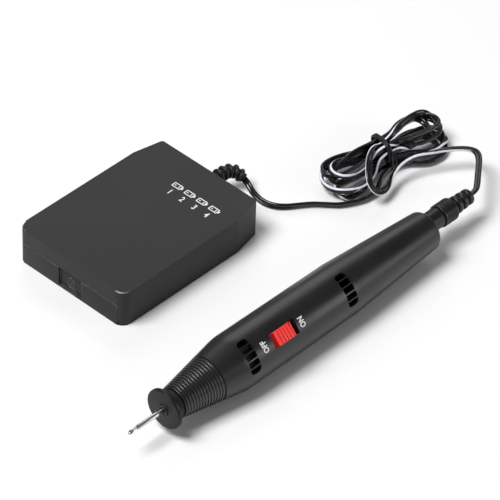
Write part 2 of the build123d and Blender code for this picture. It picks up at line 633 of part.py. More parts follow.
def case_wire(side):
    index = CELL_COUNT - 1 if side > 0 else 0
    start = (cell_x(index), BAY_REAR - PLATE_THICKNESS + TAB_LENGTH, TAB_HEIGHT + PLATE_THICKNESS / 2)
    end = (EXIT_X + side * INNER_WIRE_SPREAD, CASE_REAR - CASE_WALL - BOOT_FLANGE_THICKNESS, EXIT_Z)
    middle = between(start, end, CASE_WIRE_SHARES)
    enter = (end[0], end[1] - WIRE_END_RUN, end[2])
    return tube([start] + middle + [enter, end], INNER_WIRE_RADIUS)[0]


# Barrel: hollow turned form with seats inside, parted on the plane square to the switch
def barrel_outline(inset):
    return [(BARREL_START_RADIUS - inset, BARREL_START), (SHOULDER_RADIUS - inset, SHOULDER_AT),
            (WAIST_RADIUS - inset, WAIST_AT), (BARREL_END_RADIUS - inset, BARREL_END)]


def rounded(face, places, radius):
    corners = []
    for vertex in face.vertices():
        if any((Vector(*place) - Vector(vertex.X, vertex.Y)).length < SAME_POINT_GAP for place in places):
            corners.append(vertex)
    return fillet(corners, radius)


def spun(face):
    return revolve(Plane.XZ * face, axis=Axis.Z)


def barrel_outer():
    start, shoulder, waist, end = barrel_outline(0)
    face = make_face(Polyline((0, BARREL_START), start, shoulder, waist, end, (0, BARREL_END), close=True))
    face = rounded(face, [shoulder, waist], SHOULDER_BLEND)
    face = rounded(face, [end], BARREL_END_ROUND)
    return spun(face)


def barrel_cavity():
    start, shoulder, waist, end = barrel_outline(BARREL_WALL)
    slope = (end[0] - waist[0]) / (end[1] - waist[1])
    inner_end = (end[0] - slope * END_WALL, END_WALL_FACE)
    front = GUARD_SPIGOT_END + GUARD_SEAT_GAP
    front_slope = (shoulder[0] - start[0]) / (shoulder[1] - start[1])
    inner_front = (start[0] + front_slope * (front - BARREL_START), front)
    seat_radius, open_end = GUARD_SPIGOT_RADIUS + GUARD_FIT, BARREL_START - CUT_OVERRUN
    points = [(0, open_end), (seat_radius, open_end), (seat_radius, front), inner_front, shoulder, waist,
              inner_end, (0, END_WALL_FACE)]
    return turned(points)


def ring(inner, outer, start, end):
    return rod(outer, start, end) - rod(inner, start - CUT_OVERRUN, end + CUT_OVERRUN)


def barrel_seats():
    bush_end = BUSH_START + BUSH_LENGTH
    seats = [ring(BUSH_LIP_RADIUS, SHOULDER_RADIUS, BUSH_START - BUSH_LIP_THICKNESS, BUSH_START),
             ring(BUSH_RADIUS + BUSH_SEAT_GAP, SHOULDER_RADIUS, BUSH_START, bush_end),
             ring(BUSH_LIP_RADIUS, SHOULDER_RADIUS, bush_end, bush_end + BUSH_LIP_THICKNESS)]
    for start in (MOTOR_START - MOTOR_RIB_THICKNESS, MOTOR_END):
        seats.append(ring(MOTOR_LIP_RADIUS, SHOULDER_RADIUS, start, start + MOTOR_RIB_THICKNESS))
    for start in (MOTOR_START, MOTOR_END - MOTOR_RIB_THICKNESS):
        seats.append(ring(MOTOR_RADIUS + MOTOR_SEAT_GAP, SHOULDER_RADIUS, start, start + MOTOR_RIB_THICKNESS))
    jack_rib = rod(SHOULDER_RADIUS, FLANGE_FACE - JACK_FLANGE_THICKNESS, FLANGE_FACE)
    jack_rib -= Pos(0, JACK_OFFSET, 0) * rod(JACK_SLEEVE_RADIUS + JACK_GAP, JACK_BACK, BARREL_END)
    seats.append(jack_rib)
    return seats


def switch_walls():
    walls = []
    for start in (SWITCH_FRONT - SWITCH_POST_WIDTH, SWITCH_REAR):
        end = start + SWITCH_POST_WIDTH
        walls.append(block((SWITCH_LOW, -SHOULDER_RADIUS, start), (SWITCH_TOP, SHOULDER_RADIUS, end)))
    return walls


def arched_bar(inner, outer, low, high, arc_deg):
    face = make_face(Polyline((inner, low), (outer, low), (outer, high), (inner, high), close=True))
    return revolve(Plane.XZ * face, axis=Axis.Z, revolution_arc=arc_deg)


def along_x(radius, start, end, at):
    return Pos((start + end) / 2, 0, at) * Rot(0, 90, 0) * Cylinder(radius, end - start)


def vent_cuts(at):
    slot_deg = (VENT_ARC_DEG - (VENT_COUNT - 1) * VENT_RIB_DEG) / VENT_COUNT
    inner, outer = MOTOR_RADIUS + MOTOR_SEAT_GAP, SHOULDER_RADIUS + CUT_OVERRUN
    slot = arched_bar(inner, outer, at - VENT_LENGTH / 2, at + VENT_LENGTH / 2, slot_deg)
    starts = [index * (slot_deg + VENT_RIB_DEG) - VENT_ARC_DEG / 2 for index in range(VENT_COUNT)]
    return [Rot(0, 0, start) * slot for start in starts]


def grip_cuts():
    slope = (SHOULDER_RADIUS - BARREL_START_RADIUS) / (SHOULDER_AT - BARREL_START)
    cuts = []
    for index in range(GRIP_GROOVE_COUNT):
        at = GRIP_GROOVE_START + index * GRIP_GROOVE_PITCH
        radius = BARREL_START_RADIUS + slope * (at - BARREL_START) - GRIP_GROOVE_DEPTH
        cuts.append(ring(radius, SHOULDER_RADIUS, at, at + GRIP_GROOVE_WIDTH))
    return cuts


def barrel_screw_places():
    return (BARREL_SCREW_FRONT_AT, BARREL_SCREW_REAR_AT)


def barrel_halves():
    outer = barrel_outer()
    seats = Part() + barrel_seats()
    reach = SHOULDER_RADIUS
    bosses = [along_x(BARREL_BOSS_RADIUS, -reach, reach, at) for at in barrel_screw_places()]
    inside = (seats + bosses) & outer
    walls = (Part() + switch_walls()) & outer
    body = outer - barrel_cavity() + inside
    body -= grip_cuts()
    jack_hole = rod(JACK_SLEEVE_RADIUS + JACK_GAP, END_WALL_FACE - CUT_OVERRUN, BARREL_END + CUT_OVERRUN)
    body -= Pos(0, JACK_OFFSET, 0) * jack_hole
    lower = body & block((-SHELL_WIDTH, -SHELL_WIDTH, 0), (0, SHELL_WIDTH, BARREL_END + CUT_OVERRUN))
    upper = body & block((0, -SHELL_WIDTH, 0), (SHELL_WIDTH, SHELL_WIDTH, BARREL_END + CUT_OVERRUN))
    for at in barrel_screw_places():
        lower -= along_x(SCREW_SHANK_RADIUS + SCREW_GAP, -SHELL_WIDTH, CUT_OVERRUN, at)
        lower -= along_x(SCREW_HEAD_RADIUS + SCREW_GAP, -SHELL_WIDTH, -BARREL_SCREW_SEAT, at)
        upper -= along_x(SCREW_SHANK_RADIUS + THREAD_FIT, -CUT_OVERRUN, SCREW_LENGTH - BARREL_SCREW_SEAT, at)
    upper += walls
    for at in (VENT_FRONT_AT, VENT_REAR_AT):
        upper -= vent_cuts(at)
    room = KNOB_FLANGE_HALF + SLOT_GAP
    upper -= block((SWITCH_TOP, -room, KNOB_START - KNOB_FLANGE_MARGIN - SLOT_GAP),
                   (KNOB_FLANGE_TOP, room, SWITCH_SLOT_END + KNOB_TRAVEL + KNOB_FLANGE_MARGIN))
    half = KNOB_WIDTH / 2 + SLOT_GAP
    upper -= block((KNOB_FLANGE_TOP, -half, SWITCH_SLOT_START), (SHELL_WIDTH, half, SWITCH_SLOT_END))
    return upper, lower


def barrel_screws():
    places = [Pos(-BARREL_SCREW_SEAT, 0, at) * Rot(0, 90, 0) for at in barrel_screw_places()]
    return Part() + [place * screw() for place in places]


# Finger guard: disc with a neck and a spigot that pushes into the barrel's nose
def finger_guard():
    seat = BARREL_START - GUARD_SEAT_GAP
    points = [(GUARD_HOLE_RADIUS, -GUARD_COLLAR_HEIGHT), (GUARD_COLLAR_RADIUS, -GUARD_COLLAR_HEIGHT),
              (GUARD_COLLAR_RADIUS, 0), (GUARD_RADIUS, 0), (GUARD_RADIUS, GUARD_RIM_THICKNESS),
              (GUARD_NECK_RADIUS, GUARD_RIM_THICKNESS), (GUARD_NECK_RADIUS, seat),
              (GUARD_SPIGOT_RADIUS, seat), (GUARD_SPIGOT_RADIUS, GUARD_SPIGOT_END),
              (GUARD_BORE_RADIUS, GUARD_SPIGOT_END), (GUARD_BORE_RADIUS, GUARD_WEB_THICKNESS),
              (GUARD_HOLE_RADIUS, GUARD_WEB_THICKNESS)]
    face = rounded(make_face(Polyline(*points, close=True)), points[3:5], GUARD_RIM_ROUND)
    return spun(face)


# Engraving bit with a fluted head
def engraving_bit():
    tip = -BIT_REACH
    neck = tip + BURR_LENGTH
    taper = neck + BIT_NECK_LENGTH
    shank = taper + BIT_TAPER_LENGTH
    points = [(0, tip), (BURR_RADIUS / 2, tip + BURR_TIP_BEVEL), (BURR_RADIUS, tip + BURR_RADIUS),
              (BURR_RADIUS, neck - BURR_TIP_BEVEL), (BIT_NECK_RADIUS, neck), (BIT_NECK_RADIUS, taper),
              (BIT_SHANK_RADIUS, shank), (BIT_SHANK_RADIUS, WEB_START), (0, WEB_START)]
    bit = turned(points)
    flute = Pos(BURR_RADIUS, 0, 0) * rod(BURR_FLUTE_RADIUS, tip - CUT_OVERRUN, neck)
    return bit - [Rot(0, 0, index * 360 / BURR_FLUTE_COUNT) * flute for index in range(BURR_FLUTE_COUNT)]


# Chuck sleeve that couples bit and motor shaft, each held by a set screw
def chuck_screw_places():
    return (CHUCK_START + CHUCK_SCREW_SETBACK, CHUCK_END - CHUCK_SCREW_SETBACK)


def chuck():
    sleeve = chamfer(rod(CHUCK_RADIUS, CHUCK_START, CHUCK_END).edges(), CHUCK_CHAMFER)
    sleeve -= rod(BIT_SHANK_RADIUS + CHUCK_FIT, CHUCK_START - CUT_OVERRUN, WEB_START)
    sleeve -= rod(MOTOR_SHAFT_RADIUS + CHUCK_FIT, WEB_START + CHUCK_WEB, CHUCK_END + CUT_OVERRUN)
    for at in chuck_screw_places():
        sleeve -= along_x(CHUCK_SCREW_RADIUS + THREAD_FIT, 0, SHELL_WIDTH, at)
    return sleeve


def chuck_set_screws():
    inner = (BIT_SHANK_RADIUS, MOTOR_SHAFT_RADIUS)
    screws = []
    for radius, at in zip(inner, chuck_screw_places()):
        blank = along_x(CHUCK_SCREW_RADIUS, radius + CHUCK_FIT, CHUCK_RADIUS - CHUCK_FIT, at)
        half = CHUCK_SCREW_SLOT_HALF
        blank -= block((CHUCK_RADIUS - CHUCK_SCREW_SLOT_DEPTH, -CHUCK_SCREW_RADIUS, at - half),
                       (CHUCK_RADIUS, CHUCK_SCREW_RADIUS, at + half))
        screws.append(blank)
    return Part() + screws


def nose_bush():
    return ring(CHUCK_RADIUS + BUSH_RUNNING_FIT, BUSH_RADIUS, BUSH_START, BUSH_START + BUSH_LENGTH)


# Motor: can, magnets, bushes, end cap with brushes and terminals, and the turning rotor
def motor_can():
    can = rod(MOTOR_RADIUS, MOTOR_START, MOTOR_END)
    can -= rod(MOTOR_RADIUS - MOTOR_CAN_WALL, MOTOR_START + MOTOR_CAN_WALL, MOTOR_END + CUT_OVERRUN)
    return can - rod(MOTOR_BUSH_RADIUS + THREAD_FIT, MOTOR_START - CUT_OVERRUN, MOTOR_START + CUT_OVERRUN)


def motor_magnets():
    outer = MOTOR_RADIUS - MOTOR_CAN_WALL - THREAD_FIT
    inner = outer - MAGNET_THICKNESS
    low = (ROTOR_START + ROTOR_END - MAGNET_LENGTH) / 2
    magnet = arched_bar(inner, outer, low, low + MAGNET_LENGTH, MAGNET_ARC_DEG)
    return Part() + [Rot(0, 0, turn - MAGNET_ARC_DEG / 2) * magnet for turn in (0, 180)]


def motor_bush(start):
    return ring(MOTOR_SHAFT_RADIUS + MOTOR_RUNNING_FIT, MOTOR_BUSH_RADIUS, start, start + MOTOR_BUSH_LENGTH)


def motor_end_cap():
    outer = MOTOR_RADIUS - MOTOR_CAN_WALL - THREAD_FIT
    return ring(MOTOR_BUSH_RADIUS + THREAD_FIT, outer, CAP_START, MOTOR_END)


def motor_brushes():
    inner = COMMUTATOR_RADIUS + BRUSH_FIT
    outer = inner + BRUSH_THICKNESS
    reach = MOTOR_BUSH_RADIUS + BRUSH_WIDTH
    low = CAP_START - COMMUTATOR_LENGTH + BRUSH_THICKNESS
    blades = []
    for side in (-1, 1):
        near, far = sorted((side * inner, side * outer))
        foot_near, foot_far = sorted((side * inner, side * reach))
        blade = block((-BRUSH_WIDTH / 2, near, low), (BRUSH_WIDTH / 2, far, CAP_START))
        foot = block((-BRUSH_WIDTH / 2, foot_near, CAP_START - BRUSH_THICKNESS),
                     (BRUSH_WIDTH / 2, foot_far, CAP_START))
        blades.append(blade + foot)
    return Part() + blades


def motor_terminals():
    half = BRUSH_WIDTH / 2
    plates = []
    for side in (-1, 1):
        y = side * MOTOR_TERMINAL_SPREAD / 2
        plates.append(block((-half, y - BRUSH_THICKNESS / 2, MOTOR_END),
                            (half, y + BRUSH_THICKNESS / 2, MOTOR_END + MOTOR_TERMINAL_LENGTH)))
    return Part() + plates


def motor_shaft():
    return rod(MOTOR_SHAFT_RADIUS, WEB_START + CHUCK_WEB, MOTOR_END + MOTOR_SHAFT_TAIL)


def slot_bar(width, inner, outer, start, end):
    return block((inner, -width / 2, start), (outer, width / 2, end))


def rotor_slot_turns():
    return [Rot(0, 0, index * 360 / ROTOR_SLOT_COUNT) for index in range(ROTOR_SLOT_COUNT)]


def rotor_core():
    core = ring(MOTOR_SHAFT_RADIUS, ROTOR_RADIUS, ROTOR_START, ROTOR_END)
    slot = slot_bar(ROTOR_SLOT_WIDTH, ROTOR_HUB_RADIUS, ROTOR_RADIUS + CUT_OVERRUN, ROTOR_START, ROTOR_END)
    return core - [turn * slot for turn in rotor_slot_turns()]


def rotor_windings():
    ends = [ring(MOTOR_SHAFT_RADIUS, WINDING_RADIUS, ROTOR_START - WINDING_LENGTH, ROTOR_START),
            ring(MOTOR_SHAFT_RADIUS, WINDING_RADIUS, ROTOR_END, ROTOR_END + WINDING_LENGTH)]
    width = ROTOR_SLOT_WIDTH - 2 * THREAD_FIT
    inner, outer = ROTOR_HUB_RADIUS + THREAD_FIT, WINDING_RADIUS - THREAD_FIT
    bar = slot_bar(width, inner, outer, ROTOR_START - WINDING_LENGTH / 2, ROTOR_END + WINDING_LENGTH / 2)
    return Part() + ends + [turn * bar for turn in rotor_slot_turns()]


def commutator():
    start = ROTOR_END + WINDING_LENGTH + COMMUTATOR_GAP
    return ring(MOTOR_SHAFT_RADIUS, COMMUTATOR_RADIUS, start, start + COMMUTATOR_LENGTH)


# Slide switch: knob in the barrel's slot, wiper, open frame and three contacts
def switch_knob():
    half = KNOB_WIDTH / 2
    end = KNOB_START + KNOB_LENGTH
    ramp = KNOB_TOP - WAIST_RADIUS
    points = [(KNOB_FLANGE_TOP, KNOB_START), (WAIST_RADIUS, KNOB_START), (KNOB_TOP, KNOB_START + ramp),
              (KNOB_TOP, end), (KNOB_FLANGE_TOP, end)]
    side = make_face(Polyline(*points, close=True))
    knob = extrude(Plane.XZ * side, half, both=True)
    knob = fillet(knob.edges().filter_by(Axis.Z).sort_by(Axis.X)[-2:], KNOB_EDGE_ROUND)
    middle = KNOB_START + (KNOB_LENGTH + ramp) / 2
    first = middle - (KNOB_RIB_COUNT - 1) / 2 * KNOB_RIB_PITCH
    for index in range(KNOB_RIB_COUNT):
        at = first + index * KNOB_RIB_PITCH
        knob -= block((KNOB_TOP - KNOB_GROOVE_DEPTH, -KNOB_WIDTH, at - KNOB_GROOVE_WIDTH / 2),
                      (KNOB_TOP + CUT_OVERRUN, KNOB_WIDTH, at + KNOB_GROOVE_WIDTH / 2))
    knob += block((KNOB_FLANGE_LOW, -KNOB_FLANGE_HALF, KNOB_START - KNOB_FLANGE_MARGIN),
                  (KNOB_FLANGE_TOP, KNOB_FLANGE_HALF, end + KNOB_TRAVEL + KNOB_FLANGE_MARGIN))
    stem = KNOB_STEM_SIZE / 2
    at = SWITCH_CENTRE - KNOB_TRAVEL / 2
    knob += block((WIPER_TOP, -stem, at - stem), (KNOB_FLANGE_LOW, stem, at + stem))
    return knob


def switch_wiper():
    at = SWITCH_CENTRE - KNOB_TRAVEL / 2
    return block((PAD_TOP + WIPER_LIFT, -WIPER_WIDTH / 2, at - WIPER_LENGTH / 2),
                 (WIPER_TOP, WIPER_WIDTH / 2, at + WIPER_LENGTH / 2))


def switch_terminal_places():
    first = SWITCH_CENTRE - (SWITCH_TERMINAL_COUNT - 1) / 2 * SWITCH_TERMINAL_PITCH
    return [first + index * SWITCH_TERMINAL_PITCH for index in range(SWITCH_TERMINAL_COUNT)]


def switch_frame():
    half = SWITCH_BODY_WIDTH / 2
    frame = block((SWITCH_LOW, -half, SWITCH_FRONT), (SWITCH_TOP, half, SWITCH_REAR))
    wall = SWITCH_BODY_WALL
    frame -= block((SWITCH_LOW + wall, wall - half, SWITCH_FRONT + wall),
                   (SWITCH_TOP + CUT_OVERRUN, half - wall, SWITCH_REAR - wall))
    slot = SWITCH_TERMINAL_WIDTH / 2 + THREAD_FIT
    thick = SWITCH_PAD_THICKNESS / 2 + THREAD_FIT
    for at in switch_terminal_places():
        frame -= block((SWITCH_LOW - CUT_OVERRUN, -slot, at - thick), (SWITCH_TOP, slot, at + thick))
    return frame


def switch_terminals():
    half = SWITCH_TERMINAL_WIDTH / 2
    contacts = []
    for at in switch_terminal_places():
        blade = block((SWITCH_LOW - SWITCH_TERMINAL_LENGTH, -half, at - SWITCH_PAD_THICKNESS / 2),
                      (PAD_TOP, half, at + SWITCH_PAD_THICKNESS / 2))
        pad = block((PAD_TOP - SWITCH_PAD_THICKNESS, -half, at - half), (PAD_TOP, half, at + half))
        contacts.append(blade + pad)
    return Part() + contacts


# Power jack in the barrel's tail, and the plug that fills it
def jack_housing():
    housing = rod(JACK_SLEEVE_RADIUS, JACK_BACK, JACK_FACE)
    housing += rod(JACK_FLANGE_RADIUS, FLANGE_FACE, END_WALL_FACE)
    housing -= rod(JACK_BORE_RADIUS, JACK_BACK + JACK_BACK_WALL, JACK_FACE + CUT_OVERRUN)
    housing -= rod(JACK_PIN_RADIUS + THREAD_FIT, JACK_BACK - CUT_OVERRUN, JACK_FACE)
    half = JACK_LEAF_WIDTH / 2 + THREAD_FIT
    inner = PLUG_SLEEVE_RADIUS + PLUG_FIT
    housing -= block((inner - THREAD_FIT, -half, JACK_BACK - CUT_OVERRUN),
                     (inner + JACK_LEAF_THICKNESS + THREAD_FIT, half, JACK_FACE - JACK_LEAF_SETBACK))
    return Pos(0, JACK_OFFSET, 0) * housing


def jack_pin():
    pin = rod(JACK_PIN_RADIUS, JACK_BACK - JACK_PIN_TAIL, JACK_FACE - JACK_PIN_SETBACK)
    return Pos(0, JACK_OFFSET, 0) * chamfer(pin.edges().sort_by(Axis.Z)[-1], JACK_PIN_CHAMFER)


def jack_leaf():
    inner = PLUG_SLEEVE_RADIUS + PLUG_FIT
    half = JACK_LEAF_WIDTH / 2
    blade = block((inner, -half, JACK_BACK - JACK_LEAF_TAIL),
                  (inner + JACK_LEAF_THICKNESS, half, JACK_FACE - JACK_LEAF_SETBACK))
    return Pos(0, JACK_OFFSET, 0) * blade


def plug_grip():
    ring_end = PLUG_FACE + PLUG_RING_LENGTH
    neck_end = ring_end + PLUG_NECK_LENGTH
    grip = rod(PLUG_RING_RADIUS, PLUG_FACE, ring_end) + rod(PLUG_NECK_RADIUS, ring_end, neck_end)
    core = [(0, neck_end), (PLUG_NECK_RADIUS, neck_end), (PLUG_CORE_END_RADIUS, PLUG_END), (0, PLUG_END)]
    grip += turned(core)
    bead = PLUG_BOOT_LENGTH / PLUG_BOOT_BEAD_COUNT
    for index in range(PLUG_BOOT_BEAD_COUNT):
        share = index / (PLUG_BOOT_BEAD_COUNT - 1)
        radius = PLUG_BOOT_RADIUS + share * (PLUG_BOOT_END_RADIUS - PLUG_BOOT_RADIUS)
        end = neck_end + (index + 1) * bead
        grip += rod(radius, end - bead * PLUG_BOOT_BEAD_SHARE, end)
    for index in range(PLUG_RING_GROOVE_COUNT):
        at = PLUG_FACE + PLUG_RING_SETBACK + index * PLUG_RING_GROOVE_PITCH
        inner, outer = PLUG_RING_RADIUS - PLUG_RING_GROOVE_DEPTH, PLUG_RING_RADIUS + CUT_OVERRUN
        grip -= ring(inner, outer, at, at + PLUG_RING_GROOVE_WIDTH)
    grip -= rod(PLUG_SLEEVE_RADIUS + THREAD_FIT, PLUG_FACE - CUT_OVERRUN, PLUG_FACE + PLUG_ROOT_LENGTH)
    return Pos(0, JACK_OFFSET, 0) * grip


def plug_sleeve():
    inner = PLUG_SLEEVE_RADIUS - PLUG_SLEEVE_WALL
    sleeve = ring(inner, PLUG_SLEEVE_RADIUS, PLUG_FACE - PLUG_SLEEVE_LENGTH, PLUG_FACE + PLUG_ROOT_LENGTH)
    return Pos(0, JACK_OFFSET, 0) * sleeve


def plug_insulator():
    tip = PLUG_FACE - PLUG_SLEEVE_LENGTH + PLUG_TIP_SETBACK
    inner = PLUG_BORE_RADIUS + PLUG_CONTACT_WALL + THREAD_FIT
    outer = PLUG_SLEEVE_RADIUS - PLUG_SLEEVE_WALL - THREAD_FIT
    return Pos(0, JACK_OFFSET, 0) * ring(inner, outer, tip, PLUG_FACE + PLUG_ROOT_LENGTH)


def plug_contact():
    tip = PLUG_FACE - PLUG_SLEEVE_LENGTH + PLUG_TIP_SETBACK
    outer = PLUG_BORE_RADIUS + PLUG_CONTACT_WALL
    return Pos(0, JACK_OFFSET, 0) * ring(PLUG_BORE_RADIUS, outer, tip, PLUG_FACE + PLUG_ROOT_LENGTH)


# A lane runs along the axis: across it in shares of the lane's offset, along it in shares of the way
def wire_lane(start, end, shares):
    way = end[2] - start[2]
    return [(PEN_WIRE_LANE * x, PEN_WIRE_LANE * y, start[2] + share * way) for x, y, share in shares]


def pen_wires():
    motor = MOTOR_END + MOTOR_TERMINAL_LENGTH
    places = switch_terminal_places()
    tail = SWITCH_LOW - SWITCH_TERMINAL_LENGTH
    below = tail - WIRE_END_RUN
    half = MOTOR_TERMINAL_SPREAD / 2
    leaf_middle = PLUG_SLEEVE_RADIUS + PLUG_FIT + JACK_LEAF_THICKNESS / 2
    leaf = (leaf_middle, JACK_OFFSET, JACK_BACK - JACK_LEAF_TAIL)
    pin = (0, JACK_OFFSET, JACK_BACK - JACK_PIN_TAIL)
    leaf_run = (leaf[0], leaf[1], leaf[2] - WIRE_END_RUN)
    pin_run = (pin[0], pin[1], pin[2] - WIRE_END_RUN)
    plus, minus = (0, half, motor), (0, -half, motor)
    near, far = (tail, 0, places[0]), (tail, 0, places[-1])
    to_switch = wire_lane(plus, near, MOTOR_SWITCH_SHARES)
    to_leaf = wire_lane(far, leaf, SWITCH_JACK_SHARES)
    to_pin = wire_lane(minus, pin, MOTOR_JACK_SHARES)
    runs = {"motor_switch_wire": [plus] + to_switch + [(below, 0, places[0]), near],
            "switch_jack_wire": [far, (below, 0, places[-1])] + to_leaf + [leaf_run, leaf],
            "motor_jack_wire": [minus] + to_pin + [pin_run, pin]}
    return {name: tube(points, PEN_WIRE_RADIUS)[0] for name, points in runs.items()}


# Hank: loops with two round lobes and a narrow waist, spiralling in and out again layer by layer
HANK_TURN = math.radians(HANK_TURN_DEG)
HANK_U = Vector(math.sin(HANK_TURN), math.cos(HANK_TURN), 0)
HANK_V = Vector(math.cos(HANK_TURN), -math.sin(HANK_TURN), 0)
HANK_SHOULDER = HANK_HALF_LENGTH - HANK_LOBE_HALF
HANK_HEADINGS = [HANK_U, HANK_U, HANK_U, -HANK_V, -HANK_U, -HANK_U, -HANK_U, HANK_V]


def hank_climb(station):
    layer = (station + HANK_CLIMB_LEAD) // HANK_STATIONS_PER_LAYER
    if layer == 0:
        return 0
    within = station + HANK_CLIMB_LEAD - layer * HANK_STATIONS_PER_LAYER
    return layer - 1 + min(within / HANK_CLIMB_STATIONS, 1)


def hank_point(station):
    layer, within = divmod(station, HANK_STATIONS_PER_LAYER)
    turns = within / HANK_STATIONS_PER_TURN
    if layer % 2 == 1:
        turns = HANK_STATIONS_PER_LAYER / HANK_STATIONS_PER_TURN - turns
    inset = HANK_STEP * turns
    half = HANK_LOBE_HALF - inset
    apex = HANK_HALF_LENGTH - inset
    waist = HANK_WAIST_HALF - HANK_WAIST_STEP * turns
    shoulder = HANK_SHOULDER
    places = [(-shoulder, half), (0, waist), (shoulder, half), (apex, 0),
              (shoulder, -half), (0, -waist), (-shoulder, -half), (-apex, 0)]
    phase = station % HANK_STATIONS_PER_TURN
    along, across = places[phase]
    climb = hank_climb(station)
    height = HANK_FLOOR_HEIGHT + HANK_LAYER_RISE * climb
    if along == 0:
        height += HANK_WAIST_LIFT
    across -= HANK_LEAN * climb
    return Vector(HANK_X, HANK_Y, height) + HANK_U * along + HANK_V * across


def hank_heading(station):
    heading = HANK_HEADINGS[station % HANK_STATIONS_PER_TURN]
    if station in (0, HANK_LAST_STATION):
        return heading
    rise = HANK_LAYER_RISE * (hank_climb(station + 1) - hank_climb(station - 1))
    run = (hank_point(station + 1) - hank_point(station - 1)).length
    return (heading + Vector(0, 0, rise / run)).normalized()


# Two arcs that join two points with given headings
def biarc(start, heading, end, end_heading):
    across = end - start
    both = across.dot(heading + end_heading)
    spread = 2 * (1 - heading.dot(end_heading))
    if spread < STRAIGHT_ON_SPREAD:
        reach = across.dot(across) / (2 * both)
    else:
        reach = (math.sqrt(both * both + spread * across.dot(across)) - both) / spread
    first, second = start + heading * reach, end - end_heading * reach
    middle = (first + second) / 2
    turned_heading = (second - first).normalized()
    return [TangentArc(start, middle, tangent=heading), TangentArc(middle, end, tangent=turned_heading)]


def hank_path():
    arcs = []
    for station in range(HANK_LAST_STATION):
        start, end = hank_point(station), hank_point(station + 1)
        arcs += biarc(start, hank_heading(station), end, hank_heading(station + 1))
    return Wire(arcs)


def least_gap(path, radius):
    count = int(path.length / radius)
    points = [path @ (index / count) for index in range(count + 1)]
    least = path.length
    for index, point in enumerate(points):
        for other in points[index + HANK_NEIGHBOUR_STEPS:]:
            least = min(least, (other - point).length)
    return least - 2 * radius


def cord_hank():
    path = hank_path()
    gap = least_gap(path, CORD_RADIUS)
    print("hank length", round(path.length, 1), "least gap to itself", round(gap, 2))
    section = Plane(origin=path @ 0, z_dir=path % 0) * Circle(CORD_RADIUS)
    return sweep(section, path=path)


# Free stretches: from the boot to the hank, and from the hank to the plug
def case_stretch_points():
    end, before = Vector(*BOOT_ROUTE[-1]), Vector(*BOOT_ROUTE[-2])
    leave = end + (end - before).normalized() * CORD_DIAMETER
    meet = hank_point(0)
    return [end, leave] + CASE_ROUTE + [meet - hank_heading(0) * CORD_END_RUN, meet]


def plug_stretch_points():
    leave = hank_point(HANK_LAST_STATION)
    end = PEN_PLANE.location * Pos(0, JACK_OFFSET, PLUG_END)
    before = PEN_PLANE.location * Pos(0, JACK_OFFSET, PLUG_END + CORD_END_RUN)
    on = leave + hank_heading(HANK_LAST_STATION) * CORD_END_RUN
    return [leave, on] + PLUG_ROUTE + [before.position, end.position]


def cord_stretch(name, points):
    solid, path = tube(points, CORD_RADIUS)
    radii = [round(radius, 1) for radius in bend_radii(points)]
    print(name, "length", round(path.length, 1), "bend radii", radii)
    return solid


# Band of covered wire round the hank's waist
def hank_tie():
    clear = CORD_RADIUS + TIE_CLEARANCE
    low = HANK_FLOOR_HEIGHT + HANK_WAIST_LIFT - clear
    high = low + HANK_LAYER_RISE * (HANK_LAYERS - 1) + 2 * clear
    lean = HANK_LEAN * (HANK_LAYERS - 1)
    half = HANK_WAIST_HALF + clear
    plane = Plane(origin=(HANK_X, HANK_Y, 0), x_dir=HANK_V, z_dir=HANK_U * -1)
    sign = 1 if plane.y_dir.Z > 0 else -1
    inner = make_face(Polyline((-half, sign * low), (half, sign * low), (half - lean, sign * high),
                               (-half - lean, sign * high), close=True))
    inner = fillet(inner.vertices(), clear)
    outer = offset(inner, TIE_THICKNESS, kind=Kind.ARC)
    return extrude(plane * (outer - inner), TIE_WIDTH / 2, both=True)


# Write every piece
upper_shell, lower_shell = barrel_halves()
write_pen("upper_barrel_shell", upper_shell)
write_pen("lower_barrel_shell", lower_shell)
write_pen("barrel_screws", barrel_screws())
write_pen("finger_guard", finger_guard())
write_pen("engraving_bit", engraving_bit())
write_pen("chuck", chuck())
write_pen("chuck_set_screws", chuck_set_screws())
write_pen("nose_bush", nose_bush())
write_pen("motor_can", motor_can())
write_pen("motor_magnets", motor_magnets())
write_pen("motor_front_bush", motor_bush(MOTOR_START))
write_pen("motor_rear_bush", motor_bush(CAP_START))
write_pen("motor_end_cap", motor_end_cap())
write_pen("motor_brushes", motor_brushes())
write_pen("motor_terminals", motor_terminals())
write_pen("motor_shaft", motor_shaft())
write_pen("rotor_core", rotor_core())
write_pen("rotor_windings", rotor_windings())
write_pen("commutator", commutator())
write_pen("switch_knob", switch_knob())
write_pen("switch_wiper", switch_wiper())
write_pen("switch_frame", switch_frame())
write_pen("switch_terminals", switch_terminals())
write_pen("jack_housing", jack_housing())
write_pen("jack_pin", jack_pin())
write_pen("jack_leaf", jack_leaf())
write_pen("plug_grip", plug_grip())
write_pen("plug_sleeve", plug_sleeve())
write_pen("plug_insulator", plug_insulator())
write_pen("plug_contact", plug_contact())
for name, wire in pen_wires().items():
    write_pen(name, wire)

